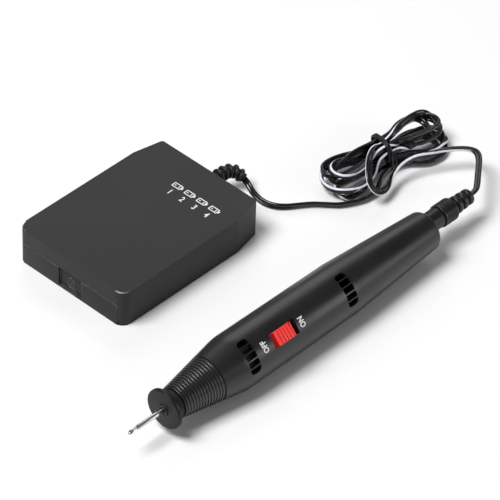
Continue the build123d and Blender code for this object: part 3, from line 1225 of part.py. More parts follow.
write("case_upper_shell", case_shell())
write("case_base_panel", case_base_panel())
write("case_screws", case_screws())
write("battery_door", battery_door())
for cell in range(CELL_COUNT):
    write("battery_cell_" + str(cell + 1), battery_cell(cell))
front_cells = [cell for cell in range(CELL_COUNT) if not plus_end_front(cell)]
rear_cells = [cell for cell in range(CELL_COUNT) if plus_end_front(cell)]
rear_plate_y = BAY_REAR - PLATE_THICKNESS
front_plates = [contact_plate(cell, cell + 1, BAY_FRONT, False) for cell in front_cells]
write("front_contact_plates", Part() + front_plates)
write("rear_bridge_plate", contact_plate(1, 2, rear_plate_y, False))
write("rear_plate_left", contact_plate(0, 0, rear_plate_y, True))
write("rear_plate_right", contact_plate(CELL_COUNT - 1, CELL_COUNT - 1, rear_plate_y, True))
write("front_contact_springs", Part() + [contact_spring(cell) for cell in front_cells])
write("rear_contact_springs", Part() + [contact_spring(cell) for cell in rear_cells])
write("case_boot", case_boot())
write("case_wire_left", case_wire(-1))
write("case_wire_right", case_wire(1))
write("cord_case_stretch", cord_stretch("case stretch", case_stretch_points()))
write("cord_hank", cord_hank())
write("cord_plug_stretch", cord_stretch("plug stretch", plug_stretch_points()))
write("hank_tie", hank_tie())
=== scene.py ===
import math

import bmesh
import bpy
from mathutils import Matrix, Vector
from mathutils.bvhtree import BVHTree


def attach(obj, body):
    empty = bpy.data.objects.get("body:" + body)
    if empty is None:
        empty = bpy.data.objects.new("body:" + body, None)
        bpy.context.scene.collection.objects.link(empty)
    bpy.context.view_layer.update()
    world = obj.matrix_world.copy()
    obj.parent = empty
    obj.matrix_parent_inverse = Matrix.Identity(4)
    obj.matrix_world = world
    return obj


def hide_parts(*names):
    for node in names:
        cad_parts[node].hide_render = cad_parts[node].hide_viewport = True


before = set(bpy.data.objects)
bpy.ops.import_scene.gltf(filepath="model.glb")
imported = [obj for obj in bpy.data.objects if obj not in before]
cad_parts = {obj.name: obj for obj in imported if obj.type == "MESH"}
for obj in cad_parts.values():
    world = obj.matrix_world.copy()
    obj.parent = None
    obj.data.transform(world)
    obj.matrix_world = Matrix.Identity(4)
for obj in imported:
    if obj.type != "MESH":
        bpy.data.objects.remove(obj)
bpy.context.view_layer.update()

# Camera
# It looks down at the pen from before its tip and to the right, through a long lens about two metres away.
CAMERA_PLACE = (0.97914, -1.03021, 1.21221)
CAMERA_AZIMUTH = math.radians(42.434)
CAMERA_ELEVATION = math.radians(40.926)
CAMERA_ROLL = math.radians(1.935)
CAMERA_LENS = 297.3
CAMERA_FILM = 36
CAMERA_NEAR, CAMERA_FAR = 0.1, 20
lens = bpy.data.cameras.new("camera")
lens.lens = CAMERA_LENS
lens.sensor_width = CAMERA_FILM
lens.clip_start, lens.clip_end = CAMERA_NEAR, CAMERA_FAR
camera = bpy.data.objects.new("camera", lens)
bpy.context.scene.collection.objects.link(camera)
level_way = Vector((-math.sin(CAMERA_AZIMUTH), math.cos(CAMERA_AZIMUTH), 0))
forward = level_way * math.cos(CAMERA_ELEVATION) - Vector((0, 0, math.sin(CAMERA_ELEVATION)))
right = Vector((math.cos(CAMERA_AZIMUTH), math.sin(CAMERA_AZIMUTH), 0))
up = right.cross(forward)
turned_right = right * math.cos(CAMERA_ROLL) + up * math.sin(CAMERA_ROLL)
turned_up = up * math.cos(CAMERA_ROLL) - right * math.sin(CAMERA_ROLL)
camera_axes = Matrix((turned_right, turned_up, -forward)).transposed().to_4x4()
camera.matrix_world = Matrix.Translation(CAMERA_PLACE) @ camera_axes
bpy.context.scene.camera = camera

# Flat twin cord
# Two stranded wires side by side in one black PVC jacket, one of them marked with a white line.
# It leaves the case's boot, is wound up into a hank of flat loops and ends in the plug.
MM = 0.001
CORD_WIDTH = 3.3
CORD_THICKNESS = 1.7
BOOT_BEND = [(-1.0, 12.0, 10.5), (-1.2, 20.5, 10.9), (-0.9, 25.6, 10.7), (1.0, 29.2, 8.9), (4.2, 30.2, 6.3)]
CASE_ROUTE = [(9.6, 29.6, 3.3), (13.6, 28.4, 2.6), (18.4, 28.2, 1.9), (23.6, 29.6, 1.8), (27.8, 33.0, 1.8),
              (31.2, 38.0, 1.8), (34.8, 43.2, 1.8), (39.6, 47.4, 1.8), (44.6, 51.6, 1.8)]
PLUG_ROUTE = [(34.2, 117.0, 12.9), (34.2, 111.0, 14.2), (34.9, 104.8, 14.8), (35.8, 98.4, 14.2),
              (36.8, 91.4, 12.9), (37.6, 84.8, 12.9), (38.4, 79.8, 15.8), (42.4, 72.8, 17.2),
              (47.2, 66.8, 15.6), (51.8, 62.8, 12.0), (55.2, 64.6, 7.6), (54.8, 71.2, 5.4),
              (51.4, 78.4, 7.2), (50.4, 85.6, 9.6), (52.6, 93.0, 11.2), (56.6, 100.4, 12.0),
              (61.0, 107.4, 12.4), (66.0, 112.8, 12.6), (71.2, 114.2, 13.0), (75.8, 110.6, 13.6),
              (80.0, 105.4, 14.0), (84.2, 100.0, 14.4), (88.0, 95.2, 14.7)]
CORD_ROUND = 2.4
CORD_END_RUN = 4.6
CORD_FINENESS = 14
CORD_POINT_SPACING = 0.8
HANK_MIDDLE = Vector((39.5, 87.5, 0))
HANK_TURN = math.radians(6.5)
HANK_START = (-22.0, 12.5)
# Each lobe's middle across the hank, its half width and its reach along the hank
HANK_LOBES = [(0.5, 11.0, 33.0), (2.5, 5.4, 31.0), (1.4, 5.0, 29.0), (-2.6, 5.4, 29.0), (2.4, 7.4, 33.0),
              (0.0, 11.3, 34.0), (-0.8, 8.4, 33.4), (-3.8, 5.2, 31.5), (-2.8, 4.8, 28.5), (3.2, 5.2, 30.5),
              (1.5, 4.6, 32.0)]
HANK_WAISTS = [4.6, -3.4, 1.0, -0.9, 3.4, -4.6, 4.6, -3.4, 1.0, -1.6, 4.3]
HANK_FLOOR_HEIGHT = 1.9
HANK_LAYER_RISE = 3.4
HANK_LEAN = 1.2
HANK_LAYERS = 4
HANK_WAIST_LIFT = 0.9
STATIONS_PER_LOBE = 4
STATIONS_PER_LAYER = 12
CLIMB_STATIONS = 2
LAST_STATION = 43

# The pen's own frame: Z along its axis from the finger guard, X towards the switch
SWITCH_TURN = math.radians(47)
PEN_PLACE = Vector((91.9, -110.9, 13.5))
pen_x = Vector((math.sin(SWITCH_TURN), 0, math.cos(SWITCH_TURN)))
pen_z = Vector((0, 1, 0))
pen_y = pen_z.cross(pen_x)
PEN = Matrix.Translation(PEN_PLACE) @ Matrix((pen_x, pen_y, pen_z)).transposed().to_4x4()
JACK_OFFSET = -1.67
PLUG_FACE = 176.4
PLUG_END = 197.4

hank_along = Vector((math.sin(HANK_TURN), math.cos(HANK_TURN), 0))
hank_across = Vector((math.cos(HANK_TURN), -math.sin(HANK_TURN), 0))


def hank_climb(station):
    """How many layers up a station lies; the cord climbs to the next layer over two stations."""
    layer, within = divmod(station + 1, STATIONS_PER_LAYER)
    return 0 if layer == 0 else layer - 1 + min(within / CLIMB_STATIONS, 1)


def hank_point(station):
    """Four stations make half a loop: the waist, then flank, end and other flank of one lobe."""
    lobe, part = divmod(station - 1, STATIONS_PER_LOBE)
    if station == 0:
        along, across = HANK_START
    elif part == 0:
        along, across = 0, HANK_WAISTS[lobe]
    else:
        side = 1 if lobe % 2 == 0 else -1
        centre, half, reach = HANK_LOBES[lobe]
        along = side * (reach if part == 2 else reach - half)
        across = centre + side * half * (2 - part)
    climb = hank_climb(station)
    height = HANK_FLOOR_HEIGHT + HANK_LAYER_RISE * climb + (HANK_WAIST_LIFT if along == 0 else 0)
    across -= HANK_LEAN * climb
    return HANK_MIDDLE + Vector((0, 0, height)) + hank_along * along + hank_across * across


def hank_heading(station):
    """The way that the cord runs at a station: level, or along its climb to the next layer."""
    headings = [hank_along] * 3 + [-hank_across] + [-hank_along] * 3 + [hank_across]
    heading = headings[station % len(headings)]
    if station in (0, LAST_STATION):
        return heading
    rise = HANK_LAYER_RISE * (hank_climb(station + 1) - hank_climb(station - 1))
    run = (hank_point(station + 1) - hank_point(station - 1)).length
    return (heading + Vector((0, 0, rise / run))).normalized()


def hank_handles(station):
    """The two points where the tangents of the bend from this station to the next one meet."""
    start, end = hank_point(station), hank_point(station + 1)
    heading, end_heading = hank_heading(station), hank_heading(station + 1)
    across = end - start
    both = across.dot(heading + end_heading)
    spread = 2 * (1 - heading.dot(end_heading))
    if spread < MM:
        reach = across.dot(across) / (2 * both)
    else:
        reach = (math.sqrt(both * both + spread * across.dot(across)) - both) / spread
    return [start + heading * reach, end - end_heading * reach]


boot_end, boot_before = Vector(BOOT_BEND[-1]), Vector(BOOT_BEND[-2])
plug_end = PEN @ Vector((0, JACK_OFFSET, PLUG_END))
cord_points = [boot_end, boot_end + (boot_end - boot_before).normalized() * CORD_ROUND]
cord_points += [Vector(place) for place in CASE_ROUTE]
cord_points.append(hank_point(0) - hank_heading(0) * CORD_END_RUN)
for station in range(LAST_STATION):
    cord_points += hank_handles(station)
cord_points.append(hank_point(LAST_STATION) + hank_heading(LAST_STATION) * CORD_END_RUN)
cord_points += [Vector(place) for place in PLUG_ROUTE]
cord_points += [plug_end + pen_z * CORD_END_RUN, plug_end]


def show(name, mesh, material=None):
    """Puts a mesh into the scene as a piece with one material."""
    piece = bpy.data.objects.new(name, mesh)
    bpy.context.scene.collection.objects.link(piece)
    if material:
        mesh.materials.append(material)
    return piece


def plain_mesh(piece):
    """The mesh of a piece as it looks with its modifiers; the piece itself goes."""
    shown = piece.evaluated_get(bpy.context.evaluated_depsgraph_get())
    mesh = bpy.data.meshes.new_from_object(shown)
    bpy.data.objects.remove(piece)
    return mesh


def finished_mesh(bm, name):
    """A mesh of the shape built so far, with every face turned outward."""
    bmesh.ops.recalc_face_normals(bm, faces=bm.faces)
    mesh = bpy.data.meshes.new(name)
    bm.to_mesh(mesh)
    bm.free()
    return mesh


def drawn_line(name, points, fineness):
    """A piece that is one smooth curve drawn by control points in millimetres."""
    curve = bpy.data.curves.new(name, "CURVE")
    curve.dimensions = "3D"
    curve.resolution_u = fineness
    line = curve.splines.new("NURBS")
    line.points.add(len(points) - 1)
    for control, place in zip(line.points, points):
        control.co = (*(Vector(place) * MM), 1)
    line.order_u = 3
    line.use_endpoint_u = True
    return show(name, curve)


def spaced_line(mesh, spacing):
    """The points of a line's mesh from end to end, without those that crowd the one before."""
    places = [vertex.co.copy() for vertex in mesh.vertices]
    kept = [places[0]]
    for place in places[1:-1]:
        if (place - kept[-1]).length > spacing:
            kept.append(place)
    return kept + [places[-1]]


def swept(name, line, section, start_side, hold, lean):
    """A closed tube of any section along a line of points; its wide side is held near upright."""
    count = len(section)
    bm = bmesh.new()
    layer = bm.loops.layers.uv.new("along")
    rings, lengths, side, length = [], [], start_side, 0
    for index, place in enumerate(line):
        before, after = line[max(index - 1, 0)], line[min(index + 1, len(line) - 1)]
        way = (after - before).normalized()
        upright = Vector((0, 0, 1)) - way * way.z
        side = side - way * side.dot(way)
        if side.dot(upright) < 0:
            upright = -upright
        side = (side.normalized() + upright * hold).normalized()
        turn = lean(length, place)
        tilted = side * math.cos(turn) + way.cross(side) * math.sin(turn)
        other = way.cross(tilted)
        rings.append([bm.verts.new(place + (tilted * a + other * b) * MM) for a, b in section])
        lengths.append(length)
        if index + 1 < len(line):
            length += (line[index + 1] - place).length
    for index, (row, next_row) in enumerate(zip(rings, rings[1:])):
        for step in range(count):
            nxt = (step + 1) % count
            face = bm.faces.new((row[step], row[nxt], next_row[nxt], next_row[step]))
            face.smooth = True
            rows = (index, index, index + 1, index + 1)
            steps = (step, step + 1, step + 1, step)
            for loop, u, v in zip(face.loops, rows, steps):
                loop[layer].uv = (lengths[u], v / count)
    bm.faces.new(rings[0][::-1])
    bm.faces.new(rings[-1])
    return finished_mesh(bm, name)


TWIN_ARC_DEG = 150
TWIN_STEP_DEG = 30


def twin_section():
    """Outline of the flat cord: two round jackets joined by a thin web."""
    radius = CORD_THICKNESS / 2
    middle = CORD_WIDTH / 2 - radius
    outline = []
    for side in (1, -1):
        for degrees in range(-TWIN_ARC_DEG, TWIN_ARC_DEG + 1, TWIN_STEP_DEG):
            turn = math.radians(degrees)
            outline.append((side * (middle + radius * math.cos(turn)), side * radius * math.sin(turn)))
    return outline


# How the cord turns about its own line: places along the hank in millimetres, lengths along it in metres
CORD_HOLD = 0.08
LEAN_WAVES = [(0.061, 0.24, 0.4), (0.023, 0.12, 1.9), (0.17, 0.2, 3.1)]
LOBE_LEAN = 0.95
LOBE_PLACES = (5, 17)
LOOP_END_PLACES = (22, 31)
LOOP_END_SHARE = 0.75
END_LEAN = 2.1
END_LEAN_LENGTHS = (0.955, 0.985)
START_LEAN = -0.8
START_LEAN_LENGTHS = (0.012, 0.04)
LINE_UP_STRETCHES = [(0.184, 0.208), (0.385, 0.404), (0.462, 0.54), (0.76, 0.812), (0.846, 1.2)]
LINE_TURN = 0.007


def eased(value, low, high):
    """Goes smoothly from nought at the low value to one at the high value."""
    share = min(max((value - low) / (high - low), 0), 1)
    return share * share * (3 - 2 * share)


def cord_lean(length, place):
    """The cord stands near upright in the tie and at the ends of the loops, leans over between them and
    lies flat before the plug. The side with the white line is up in some stretches only."""
    wander = sum(size * math.sin(length / wave + start) for wave, size, start in LEAN_WAVES)
    away = abs((place / MM - HANK_MIDDLE).dot(hank_along))
    lobe = eased(away, *LOBE_PLACES)
    end = eased(away, *LOOP_END_PLACES)
    flat = eased(length, *END_LEAN_LENGTHS)
    start = START_LEAN * (1 - eased(length, *START_LEAN_LENGTHS))
    up = 0
    for low, high in LINE_UP_STRETCHES:
        risen = eased(length, low - LINE_TURN, low + LINE_TURN)
        fallen = eased(length, high - LINE_TURN, high + LINE_TURN)
        up += risen - fallen
    between_ends = (LOBE_LEAN * (1 - LOOP_END_SHARE * end) + wander) * lobe
    return start + between_ends * (1 - flat) + END_LEAN * flat + math.pi * (1 - up)


def new_group(name, inputs, outputs):
    """An empty group of surface effects with named inputs and outputs."""
    tree = bpy.data.node_groups.new(name, "ShaderNodeTree")
    for label, kind, value in inputs:
        tree.interface.new_socket(label, in_out="INPUT", socket_type=kind).default_value = value
    for label, kind in outputs:
        tree.interface.new_socket(label, in_out="OUTPUT", socket_type=kind)
    return tree, tree.nodes.new("NodeGroupInput"), tree.nodes.new("NodeGroupOutput")


def between(tree, value, low, high, start=0.0, end=1.0):
    """Maps a value of the range low to high onto the range start to end."""
    node = tree.nodes.new("ShaderNodeMapRange")
    tree.links.new(value, node.inputs["Value"])
    for label, number in (("From Min", low), ("From Max", high)):
        node.inputs[label].default_value = number
    for label, number in (("To Min", start), ("To Max", end)):
        if isinstance(number, (int, float)):
            node.inputs[label].default_value = number
        else:
            tree.links.new(number, node.inputs[label])
    return node.outputs["Result"]


def arithmetic(tree, operation, *values):
    """One step of arithmetic in a tree; a value is a number or another node's socket."""
    node = tree.nodes.new("ShaderNodeMath")
    node.operation = operation
    for slot, value in zip(node.inputs, values):
        if isinstance(value, (int, float)):
            slot.default_value = value
        else:
            tree.links.new(value, slot)
    return node.outputs["Value"]


def noise(tree, scale, detail, place=None, stretch=None):
    """Fine noise in the piece's own coordinates, scale per metre."""
    if place is None:
        place = tree.nodes.new("ShaderNodeTexCoord").outputs["Object"]
    if stretch:
        mapping = tree.nodes.new("ShaderNodeMapping")
        mapping.inputs["Scale"].default_value = stretch
        tree.links.new(place, mapping.inputs["Vector"])
        place = mapping.outputs["Vector"]
    node = tree.nodes.new("ShaderNodeTexNoise")
    node.inputs["Detail"].default_value = detail
    if isinstance(scale, (int, float)):
        node.inputs["Scale"].default_value = scale
    else:
        tree.links.new(scale, node.inputs["Scale"])
    tree.links.new(place, node.inputs["Vector"])
    return node.outputs["Fac"]


def scaled_colour(tree, colour, share):
    """A colour made darker or lighter by a share that changes over the surface."""
    node = tree.nodes.new("ShaderNodeVectorMath")
    node.operation = "SCALE"
    tree.links.new(colour, node.inputs[0])
    tree.links.new(share, node.inputs["Scale"])
    return node.outputs["Vector"]


CLOUD_SCALE = 48
NOISE_MIDDLE = (0.3, 0.7)
SPECK_SHADES = (0.93, 1.07)
SHEEN_SHIFT = (-0.05, 0.05)
moulded_surface, entry, leave = new_group(
    "moulded_surface",
    [("Colour", "NodeSocketColor", (0.03, 0.03, 0.03, 1)), ("Roughness", "NodeSocketFloat", 0.4),
     ("Grain", "NodeSocketFloat", 2500.0), ("Mottle", "NodeSocketFloat", 0.12)],
    [("Colour", "NodeSocketColor"), ("Roughness", "NodeSocketFloat"), ("Height", "NodeSocketFloat")])
grain = noise(moulded_surface, entry.outputs["Grain"], 3)
cloud = noise(moulded_surface, CLOUD_SCALE, 5)
less = arithmetic(moulded_surface, "SUBTRACT", 1.0, entry.outputs["Mottle"])
more = arithmetic(moulded_surface, "ADD", 1.0, entry.outputs["Mottle"])
shade = between(moulded_surface, cloud, *NOISE_MIDDLE, less, more)
speck = between(moulded_surface, grain, *NOISE_MIDDLE, *SPECK_SHADES)
both_shades = arithmetic(moulded_surface, "MULTIPLY", shade, speck)
mottled = scaled_colour(moulded_surface, entry.outputs["Colour"], both_shades)
moulded_surface.links.new(mottled, leave.inputs["Colour"])
sheen = between(moulded_surface, cloud, *NOISE_MIDDLE, *SHEEN_SHIFT)
uneven = arithmetic(moulded_surface, "ADD", entry.outputs["Roughness"], sheen)
moulded_surface.links.new(uneven, leave.inputs["Roughness"])
moulded_surface.links.new(grain, leave.inputs["Height"])
RELIEF_DEPTH = 0.05


def surface(name, group, values, bump, settings):
    """A material whose colour, roughness and relief come from a group of surface effects."""
    material = bpy.data.materials.new(name)
    material.use_nodes = True
    tree = material.node_tree
    skin = tree.nodes["Principled BSDF"]
    effect = tree.nodes.new("ShaderNodeGroup")
    effect.node_tree = group
    for label, value in values.items():
        effect.inputs[label].default_value = value
    tree.links.new(effect.outputs["Colour"], skin.inputs["Base Color"])
    tree.links.new(effect.outputs["Roughness"], skin.inputs["Roughness"])
    relief = tree.nodes.new("ShaderNodeBump")
    relief.inputs["Strength"].default_value = bump
    relief.inputs["Distance"].default_value = RELIEF_DEPTH * MM
    tree.links.new(effect.outputs["Height"], relief.inputs["Height"])
    tree.links.new(relief.outputs["Normal"], skin.inputs["Normal"])
    for label, value in settings.items():
        skin.inputs[label].default_value = value
    return material


def moulded(name, colour, roughness, grain=2500, mottle=0.12, bump=0.1, **settings):
    """A moulded plastic or rubber: fine grain, faint clouds of shade, uneven sheen."""
    values = {"Colour": (*colour, 1), "Roughness": roughness, "Grain": grain, "Mottle": mottle}
    settings = {label.replace("_", " "): value for label, value in settings.items()}
    return surface(name, moulded_surface, values, bump, settings)


def painted_over(material, mask, colour):
    """Lays a second colour over a material's own colour wherever the mask is one."""
    tree = material.node_tree
    skin = tree.nodes["Principled BSDF"]
    mix = tree.nodes.new("ShaderNodeMix")
    mix.data_type = "RGBA"
    tree.links.new(mask, mix.inputs["Factor"])
    tree.links.new(skin.inputs["Base Color"].links[0].from_socket, mix.inputs["A"])
    mix.inputs["B"].default_value = (*colour, 1)
    tree.links.new(mix.outputs["Result"], skin.inputs["Base Color"])
    return material


# Place of the white line round the section, and its half width where it is worn and where it is whole
WHITE_LINE_SHARE = 0.25
WHITE_LINE_HALF_SHARES = (0.046, 0.062)
WHITE_LINE_WEAR_SCALE = 700


def cord_jacket():
    """Glossy black PVC with a white line along one of the two wires."""
    material = moulded("cord_jacket", (0.006, 0.006, 0.007), 0.18, grain=900, mottle=0.2, bump=0.04)
    tree = material.node_tree
    along = tree.nodes.new("ShaderNodeUVMap")
    along.uv_map = "along"
    parts = tree.nodes.new("ShaderNodeSeparateXYZ")
    tree.links.new(along.outputs["UV"], parts.inputs["Vector"])
    off = arithmetic(tree, "ABSOLUTE", arithmetic(tree, "SUBTRACT", parts.outputs["Y"], WHITE_LINE_SHARE))
    worn = between(tree, noise(tree, WHITE_LINE_WEAR_SCALE, 4), 0.25, 0.5, *WHITE_LINE_HALF_SHARES)
    return painted_over(material, arithmetic(tree, "LESS_THAN", off, worn), (0.8, 0.81, 0.9))


cord_line = spaced_line(plain_mesh(drawn_line("cord_way", cord_points, CORD_FINENESS)),
                        CORD_POINT_SPACING * MM)
cord_mesh = swept("flat_twin_cord", cord_line, twin_section(), Vector((0, 0, 1)), CORD_HOLD, cord_lean)
cord = show("flat_twin_cord", cord_mesh, cord_jacket())
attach(cord, "housing")
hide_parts("cord_case_stretch", "cord_hank", "cord_plug_stretch")

# Wire tie
# A thin PVC covered wire wound three times round the waist of the hank, its ends tucked in.
TIE_RADIUS = 0.55
TIE_TURNS = 3
TIE_PITCH = 1.15
TIE_WOBBLE = 0.5
TIE_WOBBLE_PACE = 0.37
TIE_CLEAR = 2.1
TIE_SIDE_CLEAR = 1.75
TIE_STEPS = 48
TIE_SIDES = 12
TIE_SQUARENESS = 0.55
tie_low = HANK_FLOOR_HEIGHT + HANK_WAIST_LIFT - TIE_CLEAR
tie_high = HANK_FLOOR_HEIGHT + HANK_WAIST_LIFT + HANK_LAYER_RISE * (HANK_LAYERS - 1) + TIE_CLEAR
tie_half = max(HANK_WAISTS) + TIE_SIDE_CLEAR
tie_lean = HANK_LEAN * (HANK_LAYERS - 1)


def node_in(tree, kind, **values):
    """A node of a tree, its sockets set to a value or joined to another node's socket."""
    node = tree.nodes.new(kind)
    for label, value in values.items():
        slot = node.inputs[label.replace("_", " ")]
        if isinstance(value, bpy.types.NodeSocket):
            tree.links.new(value, slot)
        else:
            slot.default_value = value
    return node


def new_shape_tree(name, numbers, counts):
    """An empty tree of geometry nodes with named inputs for sizes and counts."""
    tree = bpy.data.node_groups.new(name, "GeometryNodeTree")
    tree.interface.new_socket("Geometry", in_out="INPUT", socket_type="NodeSocketGeometry")
    for label in numbers:
        tree.interface.new_socket(label, in_out="INPUT", socket_type="NodeSocketFloat")
    for label in counts:
        tree.interface.new_socket(label, in_out="INPUT", socket_type="NodeSocketInt")
    tree.interface.new_socket("Geometry", in_out="OUTPUT", socket_type="NodeSocketGeometry")
    given = tree.nodes.new("NodeGroupInput").outputs
    return tree, given, tree.nodes.new("NodeGroupOutput").inputs["Geometry"]


def coated(tree, shape, material, leave):
    """Ends a tree: one real mesh, round looking, in one material."""
    real = node_in(tree, "GeometryNodeRealizeInstances", Geometry=shape)
    smooth = node_in(tree, "GeometryNodeSetShadeSmooth", Geometry=real.outputs["Geometry"])
    done = node_in(tree, "GeometryNodeSetMaterial", Geometry=smooth.outputs["Geometry"], Material=material)
    tree.links.new(done.outputs["Geometry"], leave)


def grown(start, tree, values):
    """The plain mesh that a tree makes of a piece with the given inputs."""
    maker = start.modifiers.new("shape", "NODES")
    maker.node_group = tree
    for item in tree.interface.items_tree:
        if item.in_out == "INPUT" and item.name in values:
            maker[item.identifier] = values[item.name]
    return plain_mesh(start)


def wound_wire_tree(jacket):
    """Tree that winds a covered wire round a leaning oblong, turn beside turn."""
    tree, given, leave = new_shape_tree(
        "wound_wire", ["Half width", "Low", "High", "Lean", "Pitch", "Wobble", "Wire radius"], ["Turns"])
    count = arithmetic(tree, "ADD", arithmetic(tree, "MULTIPLY", given["Turns"], TIE_STEPS), 1)
    line = node_in(tree, "GeometryNodeMeshLine", Count=count)
    turn = arithmetic(tree, "DIVIDE", tree.nodes.new("GeometryNodeInputIndex").outputs["Index"], TIE_STEPS)
    angle = arithmetic(tree, "MULTIPLY", turn, 2 * math.pi)
    flat = []
    for operation in ("COSINE", "SINE"):
        wave = arithmetic(tree, operation, angle)
        size = arithmetic(tree, "POWER", arithmetic(tree, "ABSOLUTE", wave), TIE_SQUARENESS)
        flat.append(arithmetic(tree, "MULTIPLY", size, arithmetic(tree, "SIGN", wave)))
    share = arithmetic(tree, "MULTIPLY", arithmetic(tree, "ADD", flat[1], 1), 0.5)
    leant = arithmetic(tree, "MULTIPLY", share, given["Lean"])
    across = arithmetic(tree, "SUBTRACT", arithmetic(tree, "MULTIPLY", flat[0], given["Half width"]), leant)
    half_turns = arithmetic(tree, "MULTIPLY", given["Turns"], 0.5)
    beside = arithmetic(tree, "MULTIPLY", arithmetic(tree, "SUBTRACT", turn, half_turns), given["Pitch"])
    slow_wave = arithmetic(tree, "SINE", arithmetic(tree, "MULTIPLY", angle, TIE_WOBBLE_PACE))
    along = arithmetic(tree, "ADD", beside, arithmetic(tree, "MULTIPLY", slow_wave, given["Wobble"]))
    climb = arithmetic(tree, "MULTIPLY", share, arithmetic(tree, "SUBTRACT", given["High"], given["Low"]))
    height = arithmetic(tree, "ADD", given["Low"], climb)
    place = node_in(tree, "ShaderNodeCombineXYZ", X=across, Y=along, Z=height)
    laid = node_in(tree, "GeometryNodeSetPosition", Geometry=line.outputs["Mesh"],
                   Position=place.outputs["Vector"])
    path = node_in(tree, "GeometryNodeMeshToCurve", Mesh=laid.outputs["Geometry"])
    ring = node_in(tree, "GeometryNodeCurvePrimitiveCircle", Resolution=TIE_SIDES,
                   Radius=given["Wire radius"])
    wire = node_in(tree, "GeometryNodeCurveToMesh", Curve=path.outputs["Curve"],
                   Profile_Curve=ring.outputs["Curve"], Fill_Caps=True)
    coated(tree, wire.outputs["Mesh"], jacket, leave)
    return tree


def in_metres(mesh, matrix=Matrix.Identity(4)):
    """Places a mesh by a matrix in millimetres and brings it to metres."""
    mesh.transform(Matrix.Scale(MM, 4) @ matrix)
    return mesh


tie_jacket = moulded("tie_jacket", (0.006, 0.006, 0.006), 0.3, grain=1500, Specular_IOR_Level=0.35)
tie_sizes = {"Half width": tie_half, "Low": tie_low, "High": tie_high, "Lean": tie_lean, "Pitch": TIE_PITCH,
             "Wobble": TIE_WOBBLE, "Wire radius": TIE_RADIUS, "Turns": TIE_TURNS}
tie_mesh = grown(show("start", bpy.data.meshes.new("start")), wound_wire_tree(tie_jacket), tie_sizes)
tie_place = Matrix.Translation(HANK_MIDDLE) @ Matrix.Rotation(-HANK_TURN, 4, "Z")
tie = show("hank_wire_tie", in_metres(tie_mesh, tie_place))
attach(tie, "housing")
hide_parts("hank_tie")

# Battery case
# The upper shell is one ABS moulding with a fine eroded grain. It has round corners in front and two long
# bevels at the back, ledges for the sliding door, two cross ribs that hold the cells, and two screw bosses.
CASE_HALF = 33.0
CASE_FRONT = -76.2
CASE_REAR = 12.0
CASE_HEIGHT = 19.2
CASE_WALL = 2.0
CASE_CEILING = 17.2
CASE_CEILING_ROUND = 0.6
CASE_FRONT_RADIUS = 5.0
CASE_REAR_BEVEL = (3.3, 15.4)
CASE_REAR_ROUND = 1.4
CASE_EDGE = 0.9
DOOR_HALF = 29.2
DOOR_HEIGHT = 11.0
DOOR_END = -12.0
DOOR_GAP = 0.15
DOOR_ROOM = 3.6
TONGUE_DEPTH = 0.9
TONGUE_LOW, TONGUE_HIGH = 0.7, 1.5
BASE_THICKNESS = 2.0
PANEL_GAP = 0.15
CASE_SCREWS = [(-22.0, 2.0), (22.0, 2.0)]
CASE_BOSS_RADIUS = 3.0
THREAD_RADIUS = 1.17
CASE_SCREW_REACH = 11.0
CELL_COUNT = 4
RIB_FRONTS = [-72.6, -14.9]
RIB_THICKNESS = 1.4
RIB_FLOOR_GAP = 0.6
TAB_XS = [-22.5, 22.5]
TAB_SLOT_HALF = 1.6
TAB_SLOT_FRONT, TAB_SLOT_REAR = -16.0, -12.0
TAB_SLOT_LOW, TAB_SLOT_HIGH = 13.4, 14.0
BOOT_EXIT = (-1.0, 10.5)
BOOT_HOLE_RADIUS = 3.0
# How far pieces of one solid reach into each other, and how far a cut runs past the solid
JOIN = 1.0
OVERRUN = 1.0
# Width of the paler edge, partly rubbed wear and partly painted highlight, and how far up a face of the top
# rounding looks where it gets the same paler plastic too
WORN_AND_HIGHLIT_WIDTH = 0.34
WORN_AND_HIGHLIT_LEAST, WORN_AND_HIGHLIT_MOST = 0.55, 0.85
# Broken patches of the paler colour along the edges: wear and a dotted painted highlight
PALE_PATCH_SCALE = 260
PALE_PATCH_LIMITS = (0.42, 0.62)


def rounded_outline(corners, segments=8):
    """A flat outline whose corners, given as x, y and radius, are rounded."""
    outline = []
    count = len(corners)
    for index, (x, y, radius) in enumerate(corners):
        corner = Vector((x, y))
        before = (Vector(corners[index - 1][:2]) - corner).normalized()
        after = (Vector(corners[(index + 1) % count][:2]) - corner).normalized()
        if radius <= 0:
            outline.append(corner)
            continue
        half = before.angle(after) / 2
        middle = corner + (before + after).normalized() * (radius / math.sin(half))
        start = corner + before * (radius / math.tan(half)) - middle
        sweep = start.angle_signed(corner + after * (radius / math.tan(half)) - middle)
        for step in range(segments + 1):
            turn = -sweep * step / segments
            outline.append(middle + Vector((start.x * math.cos(turn) - start.y * math.sin(turn),
                                            start.x * math.sin(turn) + start.y * math.cos(turn))))
    return outline


def prism(outline, low, high, top_round=0.0, bottom_round=0.0, lift=lambda x, y, z: (x, y, z)):
    """A closed solid of a flat outline; its top and bottom edges can be rounded."""
    bm = bmesh.new()
    foot = [bm.verts.new(lift(x, y, low)) for x, y in outline]
    head = [bm.verts.new(lift(x, y, high)) for x, y in outline]
    bottom = bm.faces.new(foot[::-1])
    top = bm.faces.new(head)
    for index in range(len(outline)):
        nxt = (index + 1) % len(outline)
        bm.faces.new((foot[index], foot[nxt], head[nxt], head[index]))
    for face, size in ((top, top_round), (bottom, bottom_round)):
        if size:
            bmesh.ops.bevel(bm, geom=list(face.edges), offset=size, segments=4, profile=0.5, affect="EDGES")
    return finished_mesh(bm, "solid")


def oblong(low, high, rounding=0.0):
    """A block from its low corner to its high corner; its upright edges can be rounded."""
    corners = [(low[0], low[1], rounding), (high[0], low[1], rounding),
               (high[0], high[1], rounding), (low[0], high[1], rounding)]
    return prism(rounded_outline(corners, 4), low[2], high[2])


